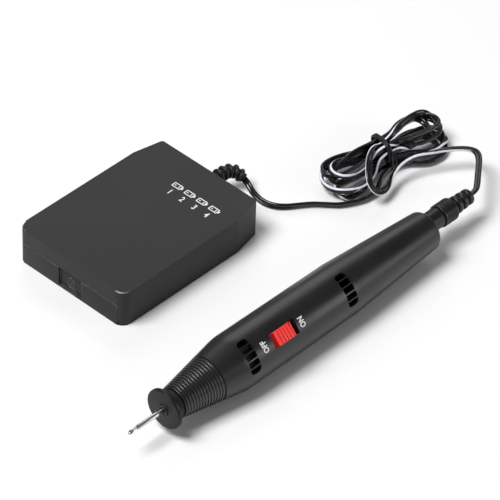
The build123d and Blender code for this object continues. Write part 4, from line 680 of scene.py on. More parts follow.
def round_bar(radius, start, end, sides=40):
    """A closed round bar between two points."""
    start, end = Vector(start), Vector(end)
    axis = (end - start).normalized()
    one = axis.orthogonal().normalized()
    two = axis.cross(one)
    lift = lambda x, y, z: start + axis * z + one * x + two * y
    turns = [2 * math.pi * side / sides for side in range(sides)]
    circle = [(radius * math.cos(turn), radius * math.sin(turn)) for turn in turns]
    return prism(circle, 0, (end - start).length, lift=lift)


def weld(mesh, reach=0.0004):
    """Joins points that lie on one another and turns every face outward."""
    bm = bmesh.new()
    bm.from_mesh(mesh)
    bmesh.ops.remove_doubles(bm, verts=bm.verts, dist=reach)
    bmesh.ops.dissolve_degenerate(bm, edges=bm.edges, dist=reach)
    bmesh.ops.recalc_face_normals(bm, faces=bm.faces)
    bm.to_mesh(mesh)
    bm.free()


def merged(body, tools, operation):
    """The body with the tools added, cut away or kept in common, one after the other."""
    piece = show("solid", body)
    for tool in tools:
        helper = show("tool", tool)
        step = piece.modifiers.new("step", "BOOLEAN")
        step.operation = operation
        step.solver = "EXACT"
        step.object = helper
        mesh = plain_mesh(piece)
        weld(mesh)
        bpy.data.objects.remove(helper)
        piece = show("solid", mesh)
    mesh = piece.data
    bpy.data.objects.remove(piece)
    return mesh


def coat(mesh, *materials):
    """Gives a mesh these materials in place of those it has."""
    mesh.materials.clear()
    for material in materials:
        mesh.materials.append(material)
    return mesh


def broken_edges(mesh, width, body, worn, angle=35):
    """The same solid with its sharp edges rounded off a little and made paler, partly rubbed wear and partly
    painted highlight, in two materials.
    """
    piece = show("solid", coat(mesh, body, worn))
    edge = piece.modifiers.new("edge", "BEVEL")
    edge.width = width
    edge.segments = 2
    edge.limit_method = "ANGLE"
    edge.angle_limit = math.radians(angle)
    edge.material = 1
    return plain_mesh(piece)


def smoothed(mesh, angle=32):
    """The same mesh, round looking but for edges sharper than the angle."""
    mesh.shade_smooth()
    mesh.set_sharp_from_angle(angle=math.radians(angle))
    return mesh


def worn_and_highlit_edge(name, colour, rubbed, roughness):
    """The plastic of an edge, paler in broken patches: partly rubbed wear, partly painted highlight."""
    material = moulded(name, colour, roughness, grain=2800, bump=0.08)
    tree = material.node_tree
    return painted_over(material, between(tree, noise(tree, PALE_PATCH_SCALE, 6), *PALE_PATCH_LIMITS), rubbed)


def case_outline(inset):
    """The case's outline seen from above, drawn in by the inset."""
    half, front, rear = CASE_HALF - inset, CASE_FRONT + inset, CASE_REAR - inset
    bevel_x, bevel_y = CASE_REAR_BEVEL
    corners = [(-half, front, CASE_FRONT_RADIUS - inset), (half, front, CASE_FRONT_RADIUS - inset),
               (half, rear - bevel_y, CASE_REAR_ROUND), (half - bevel_x, rear, CASE_REAR_ROUND),
               (bevel_x - half, rear, CASE_REAR_ROUND), (-half, rear - bevel_y, CASE_REAR_ROUND)]
    return rounded_outline(corners)


opening = DOOR_HALF + DOOR_GAP
groove_half = opening + TONGUE_DEPTH
exit_x, exit_z = BOOT_EXIT
case = prism(case_outline(0), 0, CASE_HEIGHT, top_round=CASE_EDGE)
case_room = prism(case_outline(CASE_WALL), -OVERRUN, CASE_CEILING, top_round=CASE_CEILING_ROUND)
case = merged(case, [case_room], "DIFFERENCE")
case_more = []
for rib in RIB_FRONTS:
    case_more.append(oblong((JOIN - CASE_HALF, rib, BASE_THICKNESS + RIB_FLOOR_GAP),
                            (CASE_HALF - JOIN, rib + RIB_THICKNESS, CASE_CEILING + JOIN)))
for x, y in CASE_SCREWS:
    foot, head = (x, y, BASE_THICKNESS + PANEL_GAP), (x, y, CASE_CEILING + JOIN)
    case_more.append(round_bar(CASE_BOSS_RADIUS, foot, head))
for side in (-1, 1):
    low_x, high_x = sorted((side * opening, side * (CASE_HALF - JOIN)))
    case_more.append(oblong((low_x, CASE_FRONT + CASE_FRONT_RADIUS, 0), (high_x, DOOR_END, BASE_THICKNESS)))
case = merged(case, case_more, "UNION")
case_less = [oblong((-opening, CASE_FRONT - OVERRUN, -OVERRUN),
                    (opening, CASE_FRONT + DOOR_ROOM, DOOR_HEIGHT + DOOR_GAP)),
             oblong((-groove_half, CASE_FRONT - OVERRUN, TONGUE_LOW - DOOR_GAP),
                    (groove_half, DOOR_END, TONGUE_HIGH + DOOR_GAP)),
             round_bar(BOOT_HOLE_RADIUS, (exit_x, CASE_REAR - CASE_WALL - OVERRUN, exit_z),
                       (exit_x, CASE_REAR + OVERRUN, exit_z))]
for x, y in CASE_SCREWS:
    case_less.append(round_bar(THREAD_RADIUS, (x, y, 0), (x, y, CASE_SCREW_REACH)))
for x in TAB_XS:
    case_less.append(oblong((x - TAB_SLOT_HALF, TAB_SLOT_FRONT, TAB_SLOT_LOW),
                            (x + TAB_SLOT_HALF, TAB_SLOT_REAR, TAB_SLOT_HIGH)))
case = merged(case, case_less, "DIFFERENCE")
case_plastic = moulded("case_plastic", (0.03, 0.03, 0.031), 0.5, grain=3200, mottle=0.05, bump=0.16,
                       Specular_IOR_Level=0.18)
# The edges' plastic is lighter than the case's and paler still in patches: partly wear, partly painted
# highlight along the edges
case_edge_wear_and_highlight = worn_and_highlit_edge("case_edge_wear_and_highlight", (0.05, 0.05, 0.051), (0.3, 0.3, 0.3), 0.45)
case = broken_edges(case, WORN_AND_HIGHLIT_WIDTH, case_plastic, case_edge_wear_and_highlight)
# Faces of the top rounding that look half way up get the paler edge plastic too: a band of painted highlight
# as well as wear
for face in case.polygons:
    if face.center.z > CASE_HEIGHT - CASE_EDGE and WORN_AND_HIGHLIT_LEAST < face.normal.z < WORN_AND_HIGHLIT_MOST:
        face.material_index = 1
shell = show("case_upper_moulding", smoothed(in_metres(case)))
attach(shell, "housing")
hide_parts("case_upper_shell")

# Battery door
# It slides out to the front: a bottom plate with side tongues and a front wall with a thumb recess,
# where three small ribs and an arrow mark show the way. It is moulded of the case's plastic.
RECESS_HALF = 7.2
RECESS_DEPTH = 1.3
RECESS_SILL = 0.8
RECESS_ROUND = 1.0
PAD_THICKNESS = 1.2
MARK_HALF = 2.1
MARK_RISE = 0.35
MARK_ROOT = 0.3
THUMB_RIB_FEET = (2.1, 3.4, 4.7)
THUMB_RIB_WIDTH = 0.5
ARROW_FOOT, ARROW_TIP = 6.0, 8.6
recess_floor = CASE_FRONT + RECESS_DEPTH
door = oblong((-DOOR_HALF, CASE_FRONT, 0), (DOOR_HALF, DOOR_END, BASE_THICKNESS))
door_more = [oblong((-DOOR_HALF, CASE_FRONT, 0), (DOOR_HALF, CASE_FRONT + CASE_WALL, DOOR_HEIGHT)),
             oblong((-DOOR_HALF - TONGUE_DEPTH, CASE_FRONT + CASE_FRONT_RADIUS, TONGUE_LOW),
                    (DOOR_HALF + TONGUE_DEPTH, DOOR_END, TONGUE_HIGH)),
             oblong((-RECESS_HALF - PAD_THICKNESS, CASE_FRONT, 0),
                    (RECESS_HALF + PAD_THICKNESS, CASE_FRONT + CASE_WALL + PAD_THICKNESS, DOOR_HEIGHT))]
door = merged(door, door_more, "UNION")
facing_front = lambda x, z, y: (x, y, z)
recess_corners = [(-RECESS_HALF, RECESS_SILL, RECESS_ROUND), (RECESS_HALF, RECESS_SILL, RECESS_ROUND),
                  (RECESS_HALF, DOOR_HEIGHT + OVERRUN, 0), (-RECESS_HALF, DOOR_HEIGHT + OVERRUN, 0)]
recess = prism(rounded_outline(recess_corners, 5), CASE_FRONT - OVERRUN, recess_floor, lift=facing_front)
door = merged(door, [recess], "DIFFERENCE")
mark_face, mark_root = recess_floor - MARK_RISE, recess_floor + MARK_ROOT
door_marks = []
for foot in THUMB_RIB_FEET:
    door_marks.append(oblong((-MARK_HALF, mark_face, foot), (MARK_HALF, mark_root, foot + THUMB_RIB_WIDTH)))
arrow_corners = [(-MARK_HALF, ARROW_FOOT, 0.2), (MARK_HALF, ARROW_FOOT, 0.2), (0, ARROW_TIP, 0.3)]
door_marks.append(prism(rounded_outline(arrow_corners, 3), mark_face, mark_root, lift=facing_front))
door = merged(door, door_marks, "UNION")
# The door's edges get the same paler plastic of wear and painted highlight
door = broken_edges(door, WORN_AND_HIGHLIT_WIDTH, case_plastic, case_edge_wear_and_highlight)
door_piece = show("battery_door_moulding", smoothed(in_metres(door)))
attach(door_piece, "battery_door")
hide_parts("battery_door")

# Bending boot
# A soft PVC moulding: a flange held inside the rear wall and a core with seven round ribs, which get
# smaller towards the cord. The ribs follow the boot's bend.
BOOT_CORE_RADIUS = 2.35
BOOT_RIB_RADIUS = 3.9
BOOT_RIB_LAST = 3.3
BOOT_RIB_HALF = 0.85
BOOT_RIB_COUNT = 7
BOOT_FIRST_SHARE, BOOT_LAST_SHARE = 0.055, 0.9
BOOT_FINENESS = 16
BOOT_CORE_STEPS = 48
BOOT_CORE_SIDES = 32
BOOT_RIB_SIDES = 40
BOOT_BEAD_SIDES = 16
# Flange inside the wall and neck through it, as radius and place from the wall's outside
BOOT_NECK_PROFILE = [(0, -3.4), (4.2, -3.4), (4.4, -3.2), (4.4, -2.2), (4.2, -2.0), (2.9, -2.0), (2.9, 0.3),
                     (2.35, 0.6), (0, 0.6)]


def ribbed_tail_tree(rubber):
    """Tree that sweeps a core along a curve and sets ribs of falling size along it."""
    numbers = ["Core radius", "First radius", "Last radius", "Rib half", "First at", "Last at"]
    tree, given, leave = new_shape_tree("ribbed_tail", numbers, ["Ribs"])
    circle = "GeometryNodeCurvePrimitiveCircle"
    fine = node_in(tree, "GeometryNodeResampleCurve", Curve=given["Geometry"], Count=BOOT_CORE_STEPS)
    core_ring = node_in(tree, circle, Resolution=BOOT_CORE_SIDES, Radius=given["Core radius"])
    core = node_in(tree, "GeometryNodeCurveToMesh", Curve=fine.outputs["Curve"],
                   Profile_Curve=core_ring.outputs["Curve"], Fill_Caps=True)
    part_way = node_in(tree, "GeometryNodeTrimCurve", Curve=given["Geometry"], Start=given["First at"],
                       End=given["Last at"])
    part_way.mode = "FACTOR"
    places = node_in(tree, "GeometryNodeResampleCurve", Curve=part_way.outputs["Curve"], Count=given["Ribs"])
    tangent = tree.nodes.new("GeometryNodeInputTangent")
    facing = node_in(tree, "FunctionNodeAlignRotationToVector", Vector=tangent.outputs["Tangent"])
    facing.axis = "Z"
    ring_radius = arithmetic(tree, "SUBTRACT", given["First radius"], given["Rib half"])
    ring = node_in(tree, circle, Resolution=BOOT_RIB_SIDES, Radius=ring_radius)
    bead = node_in(tree, circle, Resolution=BOOT_BEAD_SIDES, Radius=given["Rib half"])
    rib = node_in(tree, "GeometryNodeCurveToMesh", Curve=ring.outputs["Curve"],
                  Profile_Curve=bead.outputs["Curve"])
    index = tree.nodes.new("GeometryNodeInputIndex").outputs["Index"]
    way = arithmetic(tree, "DIVIDE", index, arithmetic(tree, "SUBTRACT", given["Ribs"], 1))
    last_size = arithmetic(tree, "DIVIDE", given["Last radius"], given["First radius"])
    size = between(tree, way, 0, 1, 1, last_size)
    scale = node_in(tree, "ShaderNodeCombineXYZ", X=size, Y=size, Z=1.0)
    ribs = node_in(tree, "GeometryNodeInstanceOnPoints", Points=places.outputs["Curve"],
                   Instance=rib.outputs["Mesh"], Rotation=facing.outputs["Rotation"],
                   Scale=scale.outputs["Vector"])
    whole = tree.nodes.new("GeometryNodeJoinGeometry")
    tree.links.new(ribs.outputs["Instances"], whole.inputs["Geometry"])
    tree.links.new(core.outputs["Mesh"], whole.inputs["Geometry"])
    coated(tree, whole.outputs["Geometry"], rubber, leave)
    return tree


def joined(name, meshes):
    """One mesh of several, each with its own material."""
    bm = bmesh.new()
    materials = []
    for mesh in meshes:
        start = len(bm.faces)
        bm.from_mesh(mesh)
        bm.faces.ensure_lookup_table()
        for face in bm.faces[start:]:
            material = mesh.materials[face.material_index] if mesh.materials else None
            if material not in materials:
                materials.append(material)
            face.material_index = materials.index(material)
    whole = bpy.data.meshes.new(name)
    bm.to_mesh(whole)
    bm.free()
    for material in filter(None, materials):
        whole.materials.append(material)
    return whole


# A radius below this is a point on the axis
ON_AXIS = 1e-6


def lathe(profile, matrix, start_deg=0, end_deg=360, steps=72):
    """A turned solid of a closed profile of radius and height; part of a turn gets flat ends."""
    whole_turn = end_deg - start_deg >= 360
    count = steps if whole_turn else steps + 1
    bm = bmesh.new()
    rows = []
    for radius, height in profile:
        if radius < ON_AXIS:
            rows.append([bm.verts.new((0, 0, height))] * count)
            continue
        row = []
        for step in range(count):
            turn = math.radians(start_deg + (end_deg - start_deg) * step / steps)
            row.append(bm.verts.new((radius * math.cos(turn), radius * math.sin(turn), height)))
        rows.append(row)
    for index, row in enumerate(rows):
        other = rows[(index + 1) % len(rows)]
        for step in range(steps):
            nxt = (step + 1) % count
            corners = [row[step], row[nxt], other[nxt], other[step]]
            corners = [c for k, c in enumerate(corners) if c not in corners[:k]]
            if len(corners) > 2:
                bm.faces.new(corners)
    if not whole_turn:
        bm.faces.new([row[0] for row in rows])
        bm.faces.new([row[-1] for row in rows][::-1])
    mesh = finished_mesh(bm, "turned")
    mesh.transform(matrix)
    return mesh


boot_rubber = moulded("boot_rubber", (0.012, 0.012, 0.013), 0.4, grain=1800, bump=0.12,
                      Specular_IOR_Level=0.4)
boot_sizes = {"Core radius": BOOT_CORE_RADIUS * MM, "First radius": BOOT_RIB_RADIUS * MM,
              "Last radius": BOOT_RIB_LAST * MM, "Rib half": BOOT_RIB_HALF * MM,
              "First at": BOOT_FIRST_SHARE, "Last at": BOOT_LAST_SHARE, "Ribs": BOOT_RIB_COUNT}
tail_mesh = grown(drawn_line("way", BOOT_BEND, BOOT_FINENESS), ribbed_tail_tree(boot_rubber), boot_sizes)
exit_place = Matrix.Translation((exit_x, CASE_REAR, exit_z))
exit_matrix = exit_place @ Matrix.Rotation(math.radians(-90), 4, "X")
neck_mesh = smoothed(in_metres(lathe(BOOT_NECK_PROFILE, exit_matrix, steps=40)))
neck_mesh.materials.append(boot_rubber)
boot = show("bending_boot", joined("bending_boot", [tail_mesh, neck_mesh]))
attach(boot, "housing")
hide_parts("case_boot")

# Marks on the case
# White pad printing: four plain cell signs in a row and the numbers of the four cell places.
PRINT_HEIGHT = 0.03
LETTER_WEIGHT = 0.11
LETTER_WIDTH_SHARE = 0.78
NUMBER_SIZE = 4.6
NUMBER_Y = -11.4
NUMBER_SHIFT = 0.3
SIGN_FIRST_X = -2.4
SIGN_PITCH = 7.6
SIGN_Y = -6.2
SIGN_WIDTH, SIGN_HEIGHT, SIGN_LINE = 5.2, 3.0, 0.5
SIGN_OUTER_ROUND, SIGN_INNER_ROUND = 0.5, 0.2
# The nub at the sign's plus end, an upright bar and a level bar, each as two corners
SIGN_BARS = [((2.6, -0.7), (3.3, 0.7)), ((0.9, -0.8), (1.4, 0.8)), ((-1.7, -0.25), (-0.7, 0.25))]
print_white = moulded("print_white", (0.8, 0.8, 0.79), 0.5, grain=2600, mottle=0.05, bump=0.1)


def lettering(words, size, thickness=PRINT_HEIGHT):
    """Flat letters as a mesh, centred on the origin, in millimetres."""
    curve = bpy.data.curves.new("letters", "FONT")
    curve.body = words
    curve.size = size
    curve.align_x, curve.align_y = "CENTER", "CENTER"
    curve.extrude = thickness
    curve.offset = LETTER_WEIGHT
    curve.resolution_u = 4
    mesh = plain_mesh(show("letters", curve))
    weld(mesh)
    mesh.transform(Matrix.Diagonal((LETTER_WIDTH_SHARE, 1, 1, 1)))
    return mesh


def sign_frame():
    """The frame of a cell sign: a rounded oblong with a smaller one cut out of it."""
    outlines = []
    for inset, rounding in ((0, SIGN_OUTER_ROUND), (SIGN_LINE, SIGN_INNER_ROUND)):
        x, y = SIGN_WIDTH / 2 - inset, SIGN_HEIGHT / 2 - inset
        corners = [(-x, -y, rounding), (x, -y, rounding), (x, y, rounding), (-x, y, rounding)]
        outlines.append(rounded_outline(corners, 4))
    outer, inner = outlines
    return merged(prism(outer, 0, PRINT_HEIGHT), [prism(inner, -OVERRUN, OVERRUN)], "DIFFERENCE")


case_marks = []
for index in range(CELL_COUNT):
    x = SIGN_FIRST_X + index * SIGN_PITCH
    bars = [oblong((*low, 0), (*high, PRINT_HEIGHT)) for low, high in SIGN_BARS]
    for mark in [sign_frame()] + bars:
        mark.transform(Matrix.Translation((x, SIGN_Y, CASE_HEIGHT)))
        case_marks.append(mark)
    number = lettering(str(index + 1), NUMBER_SIZE, PRINT_HEIGHT / 2)
    number.transform(Matrix.Translation((x + NUMBER_SHIFT, NUMBER_Y, CASE_HEIGHT + PRINT_HEIGHT / 2)))
    case_marks.append(number)
for mark in case_marks:
    coat(mark, print_white)
case_print = show("case_print", in_metres(joined("case_print", case_marks)))
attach(case_print, "housing")

# Barrel
# Two ABS half shells, satin black, parted on the plane square to the switch and held by two screws.
# The nose has fine rings for the fingers; vents lie before and behind the switch.
BARREL_START = 6.4
BARREL_CORNERS = [(7.6, 6.4, 0.5), (13.45, 41.0, 30.0), (13.1, 110.0, 30.0), (9.4, 167.6, 2.6)]
BARREL_END = 167.6
GROOVE_START = 7.0
GROOVE_PITCH = 1.5
GROOVE_COUNT = 14
GROOVE_WIDTH = 0.9
GROOVE_DEPTH = 0.5
GROOVE_END = GROOVE_START + (GROOVE_COUNT - 1) * GROOVE_PITCH + GROOVE_WIDTH
GROOVE_FLANK = 0.06
GROOVE_CLEAR = 0.02
GROOVE_RUN_OUT = 0.1
LONGEST_STEP = 3.0
END_WALL_FACE = 165.2
SPIGOT_FIT_RADIUS = 5.78
# The shells' inside from tail to nose, as radius and place: end wall, room of the jack's flange, long bore,
# two ribs behind the motor, its room, two ribs before it, and the ribs and seat of the nose bush
BARREL_INSIDE = [(7.75, END_WALL_FACE), (7.85, 163.6), (0, 163.6), (0, 162.0), (7.95, 162.0), (11.3, 110.0),
                 (11.42, 59.9), (8.5, 59.9), (8.5, 58.2), (8.5, 54.6), (10.1, 54.6), (10.1, 53.0),
                 (11.6, 53.0), (11.65, 41.0), (10.9, 36.3), (10.1, 34.2), (10.1, 32.6), (8.5, 32.6),
                 (8.5, 31.0), (9.6, 31.0), (7.6, 22.3), (4.2, 22.3), (4.2, 20.9), (5.3, 20.9), (5.3, 14.9),
                 (4.2, 14.9), (4.2, 13.5), (5.9, 13.5), (SPIGOT_FIT_RADIUS, 12.7)]
KNOB_SLOT = (56.8, 72.0)
KNOB_SLOT_OVERLAP = 0.5
KNOB_SLOT_TOP = 18.0
KNOB_HALF = 3.3
KNOB_GAP = 0.2
KNOB_ROOM = 10.16
FLANGE_ROOM = (55.7, 75.3)
FLANGE_ROOM_HALF = 4.6
FLANGE_ROOM_FOOT = 8.9
JACK_HOLE = (158, 169)
JACK_HOLE_RADIUS = 5.02
# Each screw's place along the pen and how far from the middle its post reaches
SCREW_POSTS = ((82.0, 11.2), (146.0, 9.6))
POST_RADIUS = 3.0
THREAD_DEPTH = 5
SCREW_HOLE_RADIUS = 1.3
SCREW_HEAD_ROOM_RADIUS = 2.35
SCREW_HEAD_SEAT = 4
BARREL_CLEAR = 16
VENT_PLACES = (43.7, 105.4)
VENT_HALF = 3.0
VENT_ARC = 72.0
VENT_RIB = 2.4
VENT_COUNT = 5
VENT_FOOT = 10.1
VENT_MIDDLE_RADIUS = 13.3
VENT_END_ROUND, VENT_ROUND = 1.9, 0.25
HALF_SHELL_STEPS = 80


def nose_radius(z):
    """Radius of the nose's cone at a place along the axis."""
    (r0, z0, _), (r1, z1, _) = BARREL_CORNERS[:2]
    return r0 + (r1 - r0) * (z - z0) / (z1 - z0)


def finer(rows, longest):
    """The same line with more points, so that no step is longer than the given length."""
    line = [rows[0]]
    for (r0, z0), (r1, z1) in zip(rows, rows[1:]):
        count = math.ceil(abs(z1 - z0) / longest)
        for step in range(1, count + 1):
            line.append((r0 + (r1 - r0) * step / count, z0 + (z1 - z0) * step / count))
    return line


def barrel_profile():
    """Outer line with the sunk bed of the finger rings, then the inner line with the seats."""
    corners = [(0.0, BARREL_START, 0)] + BARREL_CORNERS + [(0.0, BARREL_END, 0)]
    outer = [tuple(point) for point in rounded_outline(corners, 14)][1:-1]
    start = [point for point in outer if point[1] < GROOVE_START - GROOVE_CLEAR]
    rest = [point for point in outer if point[1] > GROOVE_END]
    bed_depths = [(GROOVE_START, 0), (GROOVE_START + GROOVE_FLANK, GROOVE_DEPTH),
                  (GROOVE_END - GROOVE_FLANK, GROOVE_DEPTH), (GROOVE_END, 0),
                  (GROOVE_END + GROOVE_RUN_OUT, 0)]
    bed = [(nose_radius(z) - depth, z) for z, depth in bed_depths]
    inner = [(0, BARREL_END), (0, END_WALL_FACE)] + BARREL_INSIDE + [(SPIGOT_FIT_RADIUS, BARREL_START)]
    return finer(start + bed + rest, LONGEST_STEP) + inner


def wrapped_block(low_deg, high_deg, low_z, high_z, inner, outer, rounds):
    """A block that bends round the axis; its corners at either side can be rounded."""
    middle = VENT_MIDDLE_RADIUS
    left, right = math.radians(low_deg) * middle, math.radians(high_deg) * middle
    corners = [(left, low_z, rounds[0]), (right, low_z, rounds[1]),
               (right, high_z, rounds[1]), (left, high_z, rounds[0])]
    lift = lambda s, z, radius: (radius * math.cos(s / middle), radius * math.sin(s / middle), z)
    return prism(rounded_outline(corners, 6), inner, outer, lift=lift)


def carried_normals(mesh, whole, reach=0.05 * MM, likeness=0.86):
    """Gives the curved skin of a cut mesh the smooth normals of the mesh before it was cut."""
    bm = bmesh.new()
    bm.from_mesh(whole)
    bmesh.ops.triangulate(bm, faces=bm.faces)
    bm.faces.ensure_lookup_table()
    tree = BVHTree.FromBMesh(bm)
    mesh.shade_smooth()
    mesh.set_sharp_from_angle(angle=math.radians(30))
    plain = [Vector(corner.vector) for corner in mesh.corner_normals]
    normals = []
    for polygon in mesh.polygons:
        for loop in polygon.loop_indices:
            place = mesh.vertices[mesh.loops[loop].vertex_index].co
            _, flat, index, distance = tree.find_nearest(place)
            normal = plain[loop]
            if distance < reach and flat.dot(polygon.normal) > likeness:
                face = bm.faces[index]
                weights = [1 / ((vertex.co - place).length + 1e-7) for vertex in face.verts]
                carried = sum((v.normal * w for v, w in zip(face.verts, weights)), Vector())
                if carried.normalized().dot(polygon.normal) > likeness:
                    normal = carried.normalized()
            normals.append(normal)
    bm.free()
    mesh.normals_split_custom_set(normals)
    return mesh


barrel_plastic = moulded("barrel_plastic", (0.008, 0.008, 0.0085), 0.34, grain=2600, mottle=0.14, bump=0.05)
slot_deg = (VENT_ARC - (VENT_COUNT - 1) * VENT_RIB) / VENT_COUNT
vents = []
for at in VENT_PLACES:
    for index in range(VENT_COUNT):
        start_deg = index * (slot_deg + VENT_RIB) - VENT_ARC / 2
        rounds = (VENT_END_ROUND if index == 0 else VENT_ROUND,
                  VENT_END_ROUND if index == VENT_COUNT - 1 else VENT_ROUND)
        vents.append(wrapped_block(start_deg, start_deg + slot_deg, at - VENT_HALF, at + VENT_HALF,
                                   VENT_FOOT, BARREL_CLEAR, rounds))
slot_half = KNOB_HALF + KNOB_GAP
knob_slot = oblong((KNOB_ROOM - KNOB_SLOT_OVERLAP, -slot_half, KNOB_SLOT[0]),
                   (KNOB_SLOT_TOP, slot_half, KNOB_SLOT[1]))
knob_room = oblong((FLANGE_ROOM_FOOT, -FLANGE_ROOM_HALF, FLANGE_ROOM[0]),
                   (KNOB_ROOM, FLANGE_ROOM_HALF, FLANGE_ROOM[1]))
jack_hole = round_bar(JACK_HOLE_RADIUS, (0, JACK_OFFSET, JACK_HOLE[0]), (0, JACK_OFFSET, JACK_HOLE[1]), 56)
upper_cuts = vents + [knob_slot, knob_room, jack_hole]
lower_cuts = [jack_hole.copy()]
upper_posts, lower_posts = [], []
for at, reach in SCREW_POSTS:
    upper_posts.append(round_bar(POST_RADIUS, (0, 0, at), (reach, 0, at)))
    lower_posts.append(round_bar(POST_RADIUS, (-reach, 0, at), (0, 0, at)))
    upper_cuts.append(round_bar(THREAD_RADIUS, (-OVERRUN, 0, at), (THREAD_DEPTH, 0, at), 24))
    lower_cuts.append(round_bar(SCREW_HOLE_RADIUS, (-BARREL_CLEAR, 0, at), (OVERRUN, 0, at), 24))
    lower_cuts.append(round_bar(SCREW_HEAD_ROOM_RADIUS, (-BARREL_CLEAR, 0, at),
                                (-SCREW_HEAD_SEAT, 0, at), 32))
outline = barrel_profile()
halves = (("upper_barrel_moulding", "upper_barrel_shell", -90, upper_posts, upper_cuts),
          ("lower_barrel_moulding", "lower_barrel_shell", 90, lower_posts, lower_cuts))
for name, node, first_deg, posts, cuts in halves:
    half = lathe(outline, Matrix.Identity(4), first_deg, first_deg + 180, HALF_SHELL_STEPS)
    whole = half.copy()
    half = merged(half, posts, "UNION")
    half = merged(half, cuts, "DIFFERENCE")
    half, whole = in_metres(half, PEN), in_metres(whole, PEN)
    piece = show(name, carried_normals(half, whole), barrel_plastic)
    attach(piece, "housing")
    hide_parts(node)

# Finger rings
# Thirteen half round rings on the nose, moulded in one with the barrel.
RING_BEAD = 0.38
RING_COUNT = GROOVE_COUNT - 1
RING_SIDES = 120
RING_BEAD_SIDES = 14


def ring_row_tree(plastic):
    """Tree that sets beaded rings of evenly changing size in a row along Z."""
    numbers = ["Start", "Pitch", "First radius", "Last radius", "Bead"]
    tree, given, leave = new_shape_tree("ring_row", numbers, ["Rings"])
    first = node_in(tree, "ShaderNodeCombineXYZ", Z=given["Start"])
    step = node_in(tree, "ShaderNodeCombineXYZ", Z=given["Pitch"])
    line = node_in(tree, "GeometryNodeMeshLine", Count=given["Rings"], Start_Location=first.outputs["Vector"],
                   Offset=step.outputs["Vector"])
    index = tree.nodes.new("GeometryNodeInputIndex").outputs["Index"]
    way = arithmetic(tree, "DIVIDE", index, arithmetic(tree, "SUBTRACT", given["Rings"], 1))
    difference = arithmetic(tree, "SUBTRACT", given["Last radius"], given["First radius"])
    radius = arithmetic(tree, "ADD", given["First radius"], arithmetic(tree, "MULTIPLY", way, difference))
    size = node_in(tree, "ShaderNodeCombineXYZ", X=radius, Y=radius, Z=1.0)
    circle = node_in(tree, "GeometryNodeCurvePrimitiveCircle", Resolution=RING_SIDES, Radius=1.0)
    rings = node_in(tree, "GeometryNodeInstanceOnPoints", Points=line.outputs["Mesh"],
                    Instance=circle.outputs["Curve"], Scale=size.outputs["Vector"])
    lines = node_in(tree, "GeometryNodeRealizeInstances", Geometry=rings.outputs["Instances"])
    bead = node_in(tree, "GeometryNodeCurvePrimitiveCircle", Resolution=RING_BEAD_SIDES, Radius=given["Bead"])
    row = node_in(tree, "GeometryNodeCurveToMesh", Curve=lines.outputs["Geometry"],
                  Profile_Curve=bead.outputs["Curve"])
    coated(tree, row.outputs["Mesh"], plastic, leave)
    return tree


first_ring = GROOVE_START + GROOVE_WIDTH + (GROOVE_PITCH - GROOVE_WIDTH) / 2
last_ring = first_ring + (RING_COUNT - 1) * GROOVE_PITCH
ring_sizes = {"Start": first_ring, "Pitch": GROOVE_PITCH, "Bead": RING_BEAD, "Rings": RING_COUNT,
              "First radius": nose_radius(first_ring) - RING_BEAD,
              "Last radius": nose_radius(last_ring) - RING_BEAD}
# The rings' plastic is a lighter copy of the barrel's: painted highlight on the ring beads
ring_plastic_painted_highlight = moulded("ring_plastic_painted_highlight", (0.014, 0.014, 0.0145), 0.2, grain=2600, mottle=0.14, bump=0.03,
                       Specular_IOR_Level=0.75)
ring_mesh = grown(show("start", bpy.data.meshes.new("start")), ring_row_tree(ring_plastic_painted_highlight), ring_sizes)
finger_rings = show("finger_rings", in_metres(ring_mesh, PEN))
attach(finger_rings, "housing")

# ON and OFF
# White pad printing on the barrel before and behind the switch, read from the pen's right side.
WORD_SIZE = 4.0
# Each word, its place along the pen and the barrel's radius there
SWITCH_WORDS = (("OFF", 52.2, 13.42), ("ON", 75.3, 13.32))


def on_barrel(mesh, at, radius, step=0.4):
    """Lays flat letters round the barrel: they read towards -Y of the pen and stand towards its nose."""
    bm = bmesh.new()
    bm.from_mesh(mesh)
    edge = min(vertex.co.x for vertex in bm.verts) + step
    far = max(vertex.co.x for vertex in bm.verts)
    while edge < far:
        everything = bm.verts[:] + bm.edges[:] + bm.faces[:]
        bmesh.ops.bisect_plane(bm, geom=everything, plane_co=(edge, 0, 0), plane_no=(1, 0, 0))
        edge += step
    for vertex in bm.verts:
        x, y, z = vertex.co
        turn = -x / radius
        vertex.co = ((radius + z) * math.cos(turn), (radius + z) * math.sin(turn), at - y)
    bmesh.ops.recalc_face_normals(bm, faces=bm.faces)
    bm.to_mesh(mesh)
    bm.free()
    return in_metres(mesh, PEN)


switch_words = []
for word, at, radius in SWITCH_WORDS:
    switch_words.append(coat(on_barrel(lettering(word, WORD_SIZE), at, radius), print_white))
switch_print = show("switch_print", joined("switch_print", switch_words))
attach(switch_print, "housing")

# Finger guard
# A turned looking ABS moulding pushed into the nose: a thin disc with a small collar round the bit's hole.
GUARD_STEPS = 96
# Its profile as radius, place and rounding: collar, the disc's face and rim, neck, spigot and bore
GUARD_CORNERS = [(1.5, -0.5, 0.1), (2.9, -0.5, 0.25), (3.0, 0.0, 0.15), (9.7, 0.0, 0.7), (9.7, 2.6, 1.1),
                 (6.9, 2.7, 0.4), (6.5, 4.0, 0.6), (7.0, 6.1, 0.2), (5.7, 6.1, 0), (5.7, 12.4, 0.3),
                 (3.9, 12.4, 0), (3.9, 5.0, 0), (1.5, 5.0, 0)]


def turned(corners, matrix, segments=5, steps=72):
    """A turned solid of a profile whose corners are given as radius, place and rounding."""
    return lathe([tuple(point) for point in rounded_outline(corners, segments)], matrix, steps=steps)


